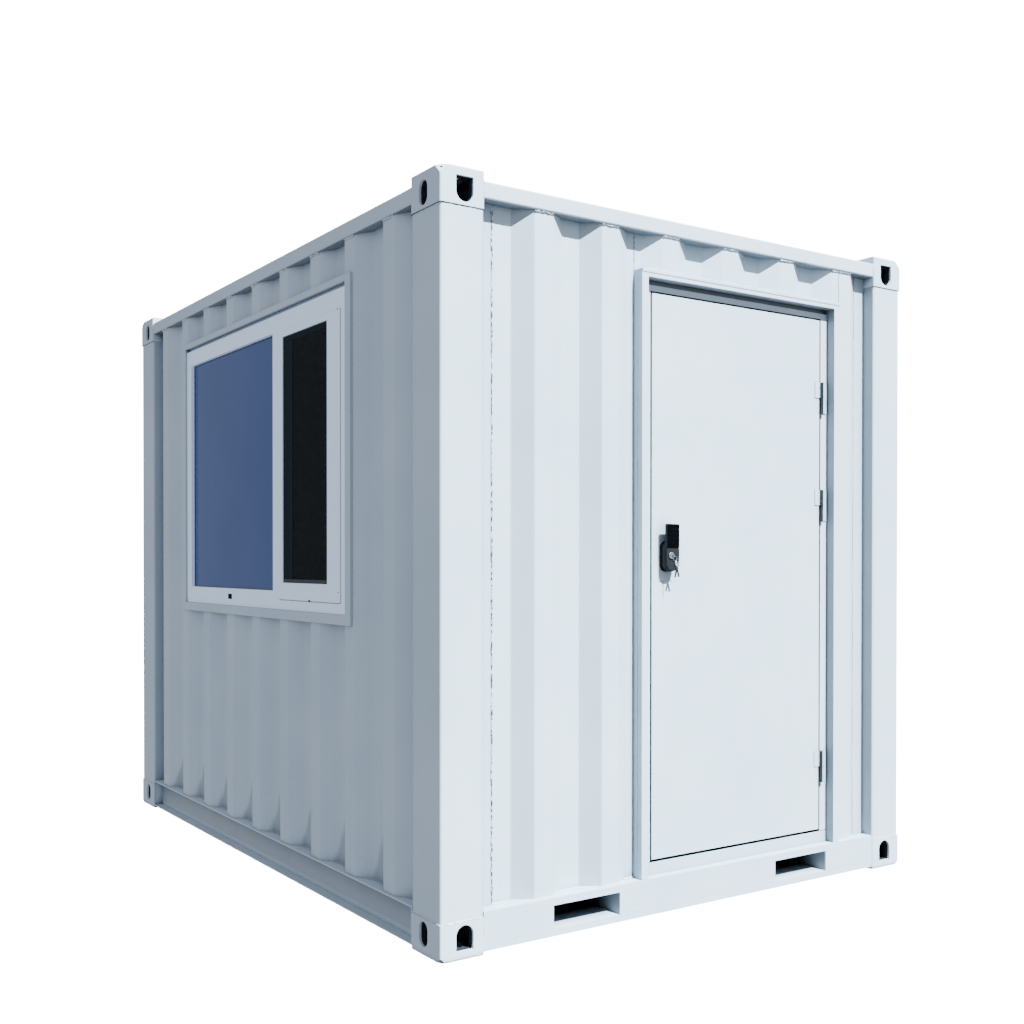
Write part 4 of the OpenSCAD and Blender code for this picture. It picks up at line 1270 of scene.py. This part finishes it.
# The seven bars of a digit by their usual letters: start and end, across and up.
BARS = {"a": (-1, 1, 2, 2), "b": (1, 1, 0, 2), "c": (1, 1, -2, 0), "d": (-1, 1, -2, -2),
    "e": (-1, -1, -2, 0), "f": (-1, -1, 0, 2), "g": (-1, 1, 0, 0)}
DIGITS_BY_PLACE = ("bc", "abged", "agdbc", "fgbc", "afgcd", "afegcd", "abc", "agdfebc", "agdfbc", "adfebc")


def keypad_digits(m, z, front):
    """Plain bar digits, three across and the nought below, on the keypad's glass."""
    half = 0.35
    bars = []
    for order, letters in enumerate(DIGITS_BY_PLACE):
        column = 1 if order == 9 else order % 3
        at_m = m + 13.0 * (column - 1)
        at_z = z - 15.0 * (order // 3)
        for letter in letters:
            a0, a1, b0, b1 = (1.6 * v for v in BARS[letter])
            bars.append(block("bar", on_end, at_m + a0 - half, at_m + a1 + half,
                front - 0.25, front + 0.3, at_z + b0 - half, at_z + b1 + half))
    fit(joined("keypad_digits", bars), DIGITS, DOOR)


def lock_keypad():
    """Keypad case with a glossy black glass."""
    m0, m1, d0, d1, z0, z1 = extent("lock_keypad", on_end)
    case = block("keypad_case", on_end, m0, m1, d0 + 1, d1, z0, z1)
    round_corners(case, 3, 5)
    fit_soft(case, 1.0, 2, HOUSING, DOOR)
    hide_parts("lock_keypad")
    glass = block("keypad_glass", on_end, m0 + 1, m1 - 1, d0, d0 + 1.6, z0 + 1, z1 - 1)
    round_corners(glass, 2.5, 5)
    fit_soft(glass, 0.5, 2, KEYPAD, DOOR)
    keypad_digits((m0 + m1) / 2, z1 - 19, d0)


def ring_on_door(name, place, major, minor):
    """A round wire ring flat against the lock."""
    let_go()
    bpy.ops.mesh.primitive_torus_add(location=on_end(*place), rotation=(0, math.pi / 2, 0),
        major_radius=major * MM, minor_radius=minor * MM, major_segments=28, minor_segments=8)
    piece = settled(name)
    smooth(piece, 60)
    return fit(piece, CHROME, DOOR)


def key_blade(name, place, length, lean):
    """A flat key blade, cut in teeth, that hangs at a slant from its upper end."""
    m, d, z = place
    piece = block(name, on_end, m - 4.2, m + 4.2, d - 0.7, d + 0.7, z - length, z)
    rows = [on_end(0, 0, z - length * part) for part in (0.35, 0.5, 0.65, 0.8)]
    cut_across(piece, rows, Vector((0, 0, 1)))

    def tooth(edge):
        a, b = (v.co for v in edge.verts)
        in_row = min(abs(a.z - rows[1].z), abs(a.z - rows[3].z)) < 0.0002
        return abs(a.z - b.z) < 0.0001 and in_row and min(a.y, b.y) > m * MM - WIDTH / 2

    open_mesh(piece)
    choose(piece, "EDGE", tooth)
    bpy.ops.transform.translate(value=(0, -1.6 * MM, 0))
    take_all()
    bpy.ops.transform.rotate(value=math.radians(lean), orient_axis="X",
        center_override=on_end(m, d, z))
    close_mesh()
    fit_soft(piece, 0.35, 2, DARK_STEEL_AND_SHADE, DOOR)


def lock_keys():
    """Cylinder of the lock with a ring and two keys hanging from it."""
    barrel = turned("lock_barrel", BARREL, 11.5, 3.4, 36)
    fit_soft(barrel, 0.9, 3, CHROME, DOOR)
    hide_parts("lock_cylinder")
    plug = turned("lock_plug", PLUG, 5.0, 1.6, 28)
    fit_soft(plug, 0.5, 2, RUBBER, DOOR)
    ring = ring_on_door("key_ring", RING, 8.5, 1.2)
    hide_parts("lock_keys")
    ring_on_door("key_bow_front", FRONT_BOW, 6.4, 2.3)
    ring_on_door("key_bow_back", BACK_BOW, 5.6, 2.1)
    key_blade("key_blade_front", FRONT_BLADE, 36, -17)
    key_blade("key_blade_back", BACK_BLADE, 34, 14)


def door():
    door_frame()
    shade_leaf_gaps(softened_part("door_panel", "door_leaf", 2.5, LEAF, 3, DOOR))
    painted_hinges("hinges_on_frame", "frame_hinge_leaves", CONTAINER)
    painted_hinges("hinges_on_leaf", "door_hinge_leaves", DOOR)
    lock_housing()
    lock_keypad()
    lock_keys()
    softened_part("inner_knob", "inner_lock", 2.0, HOUSING, 3, DOOR)


# ---- building it

main_camera()
sun_light()
sky()
studio_floor()
steel_frame()
walls()
roof_and_inside()
window()
door()
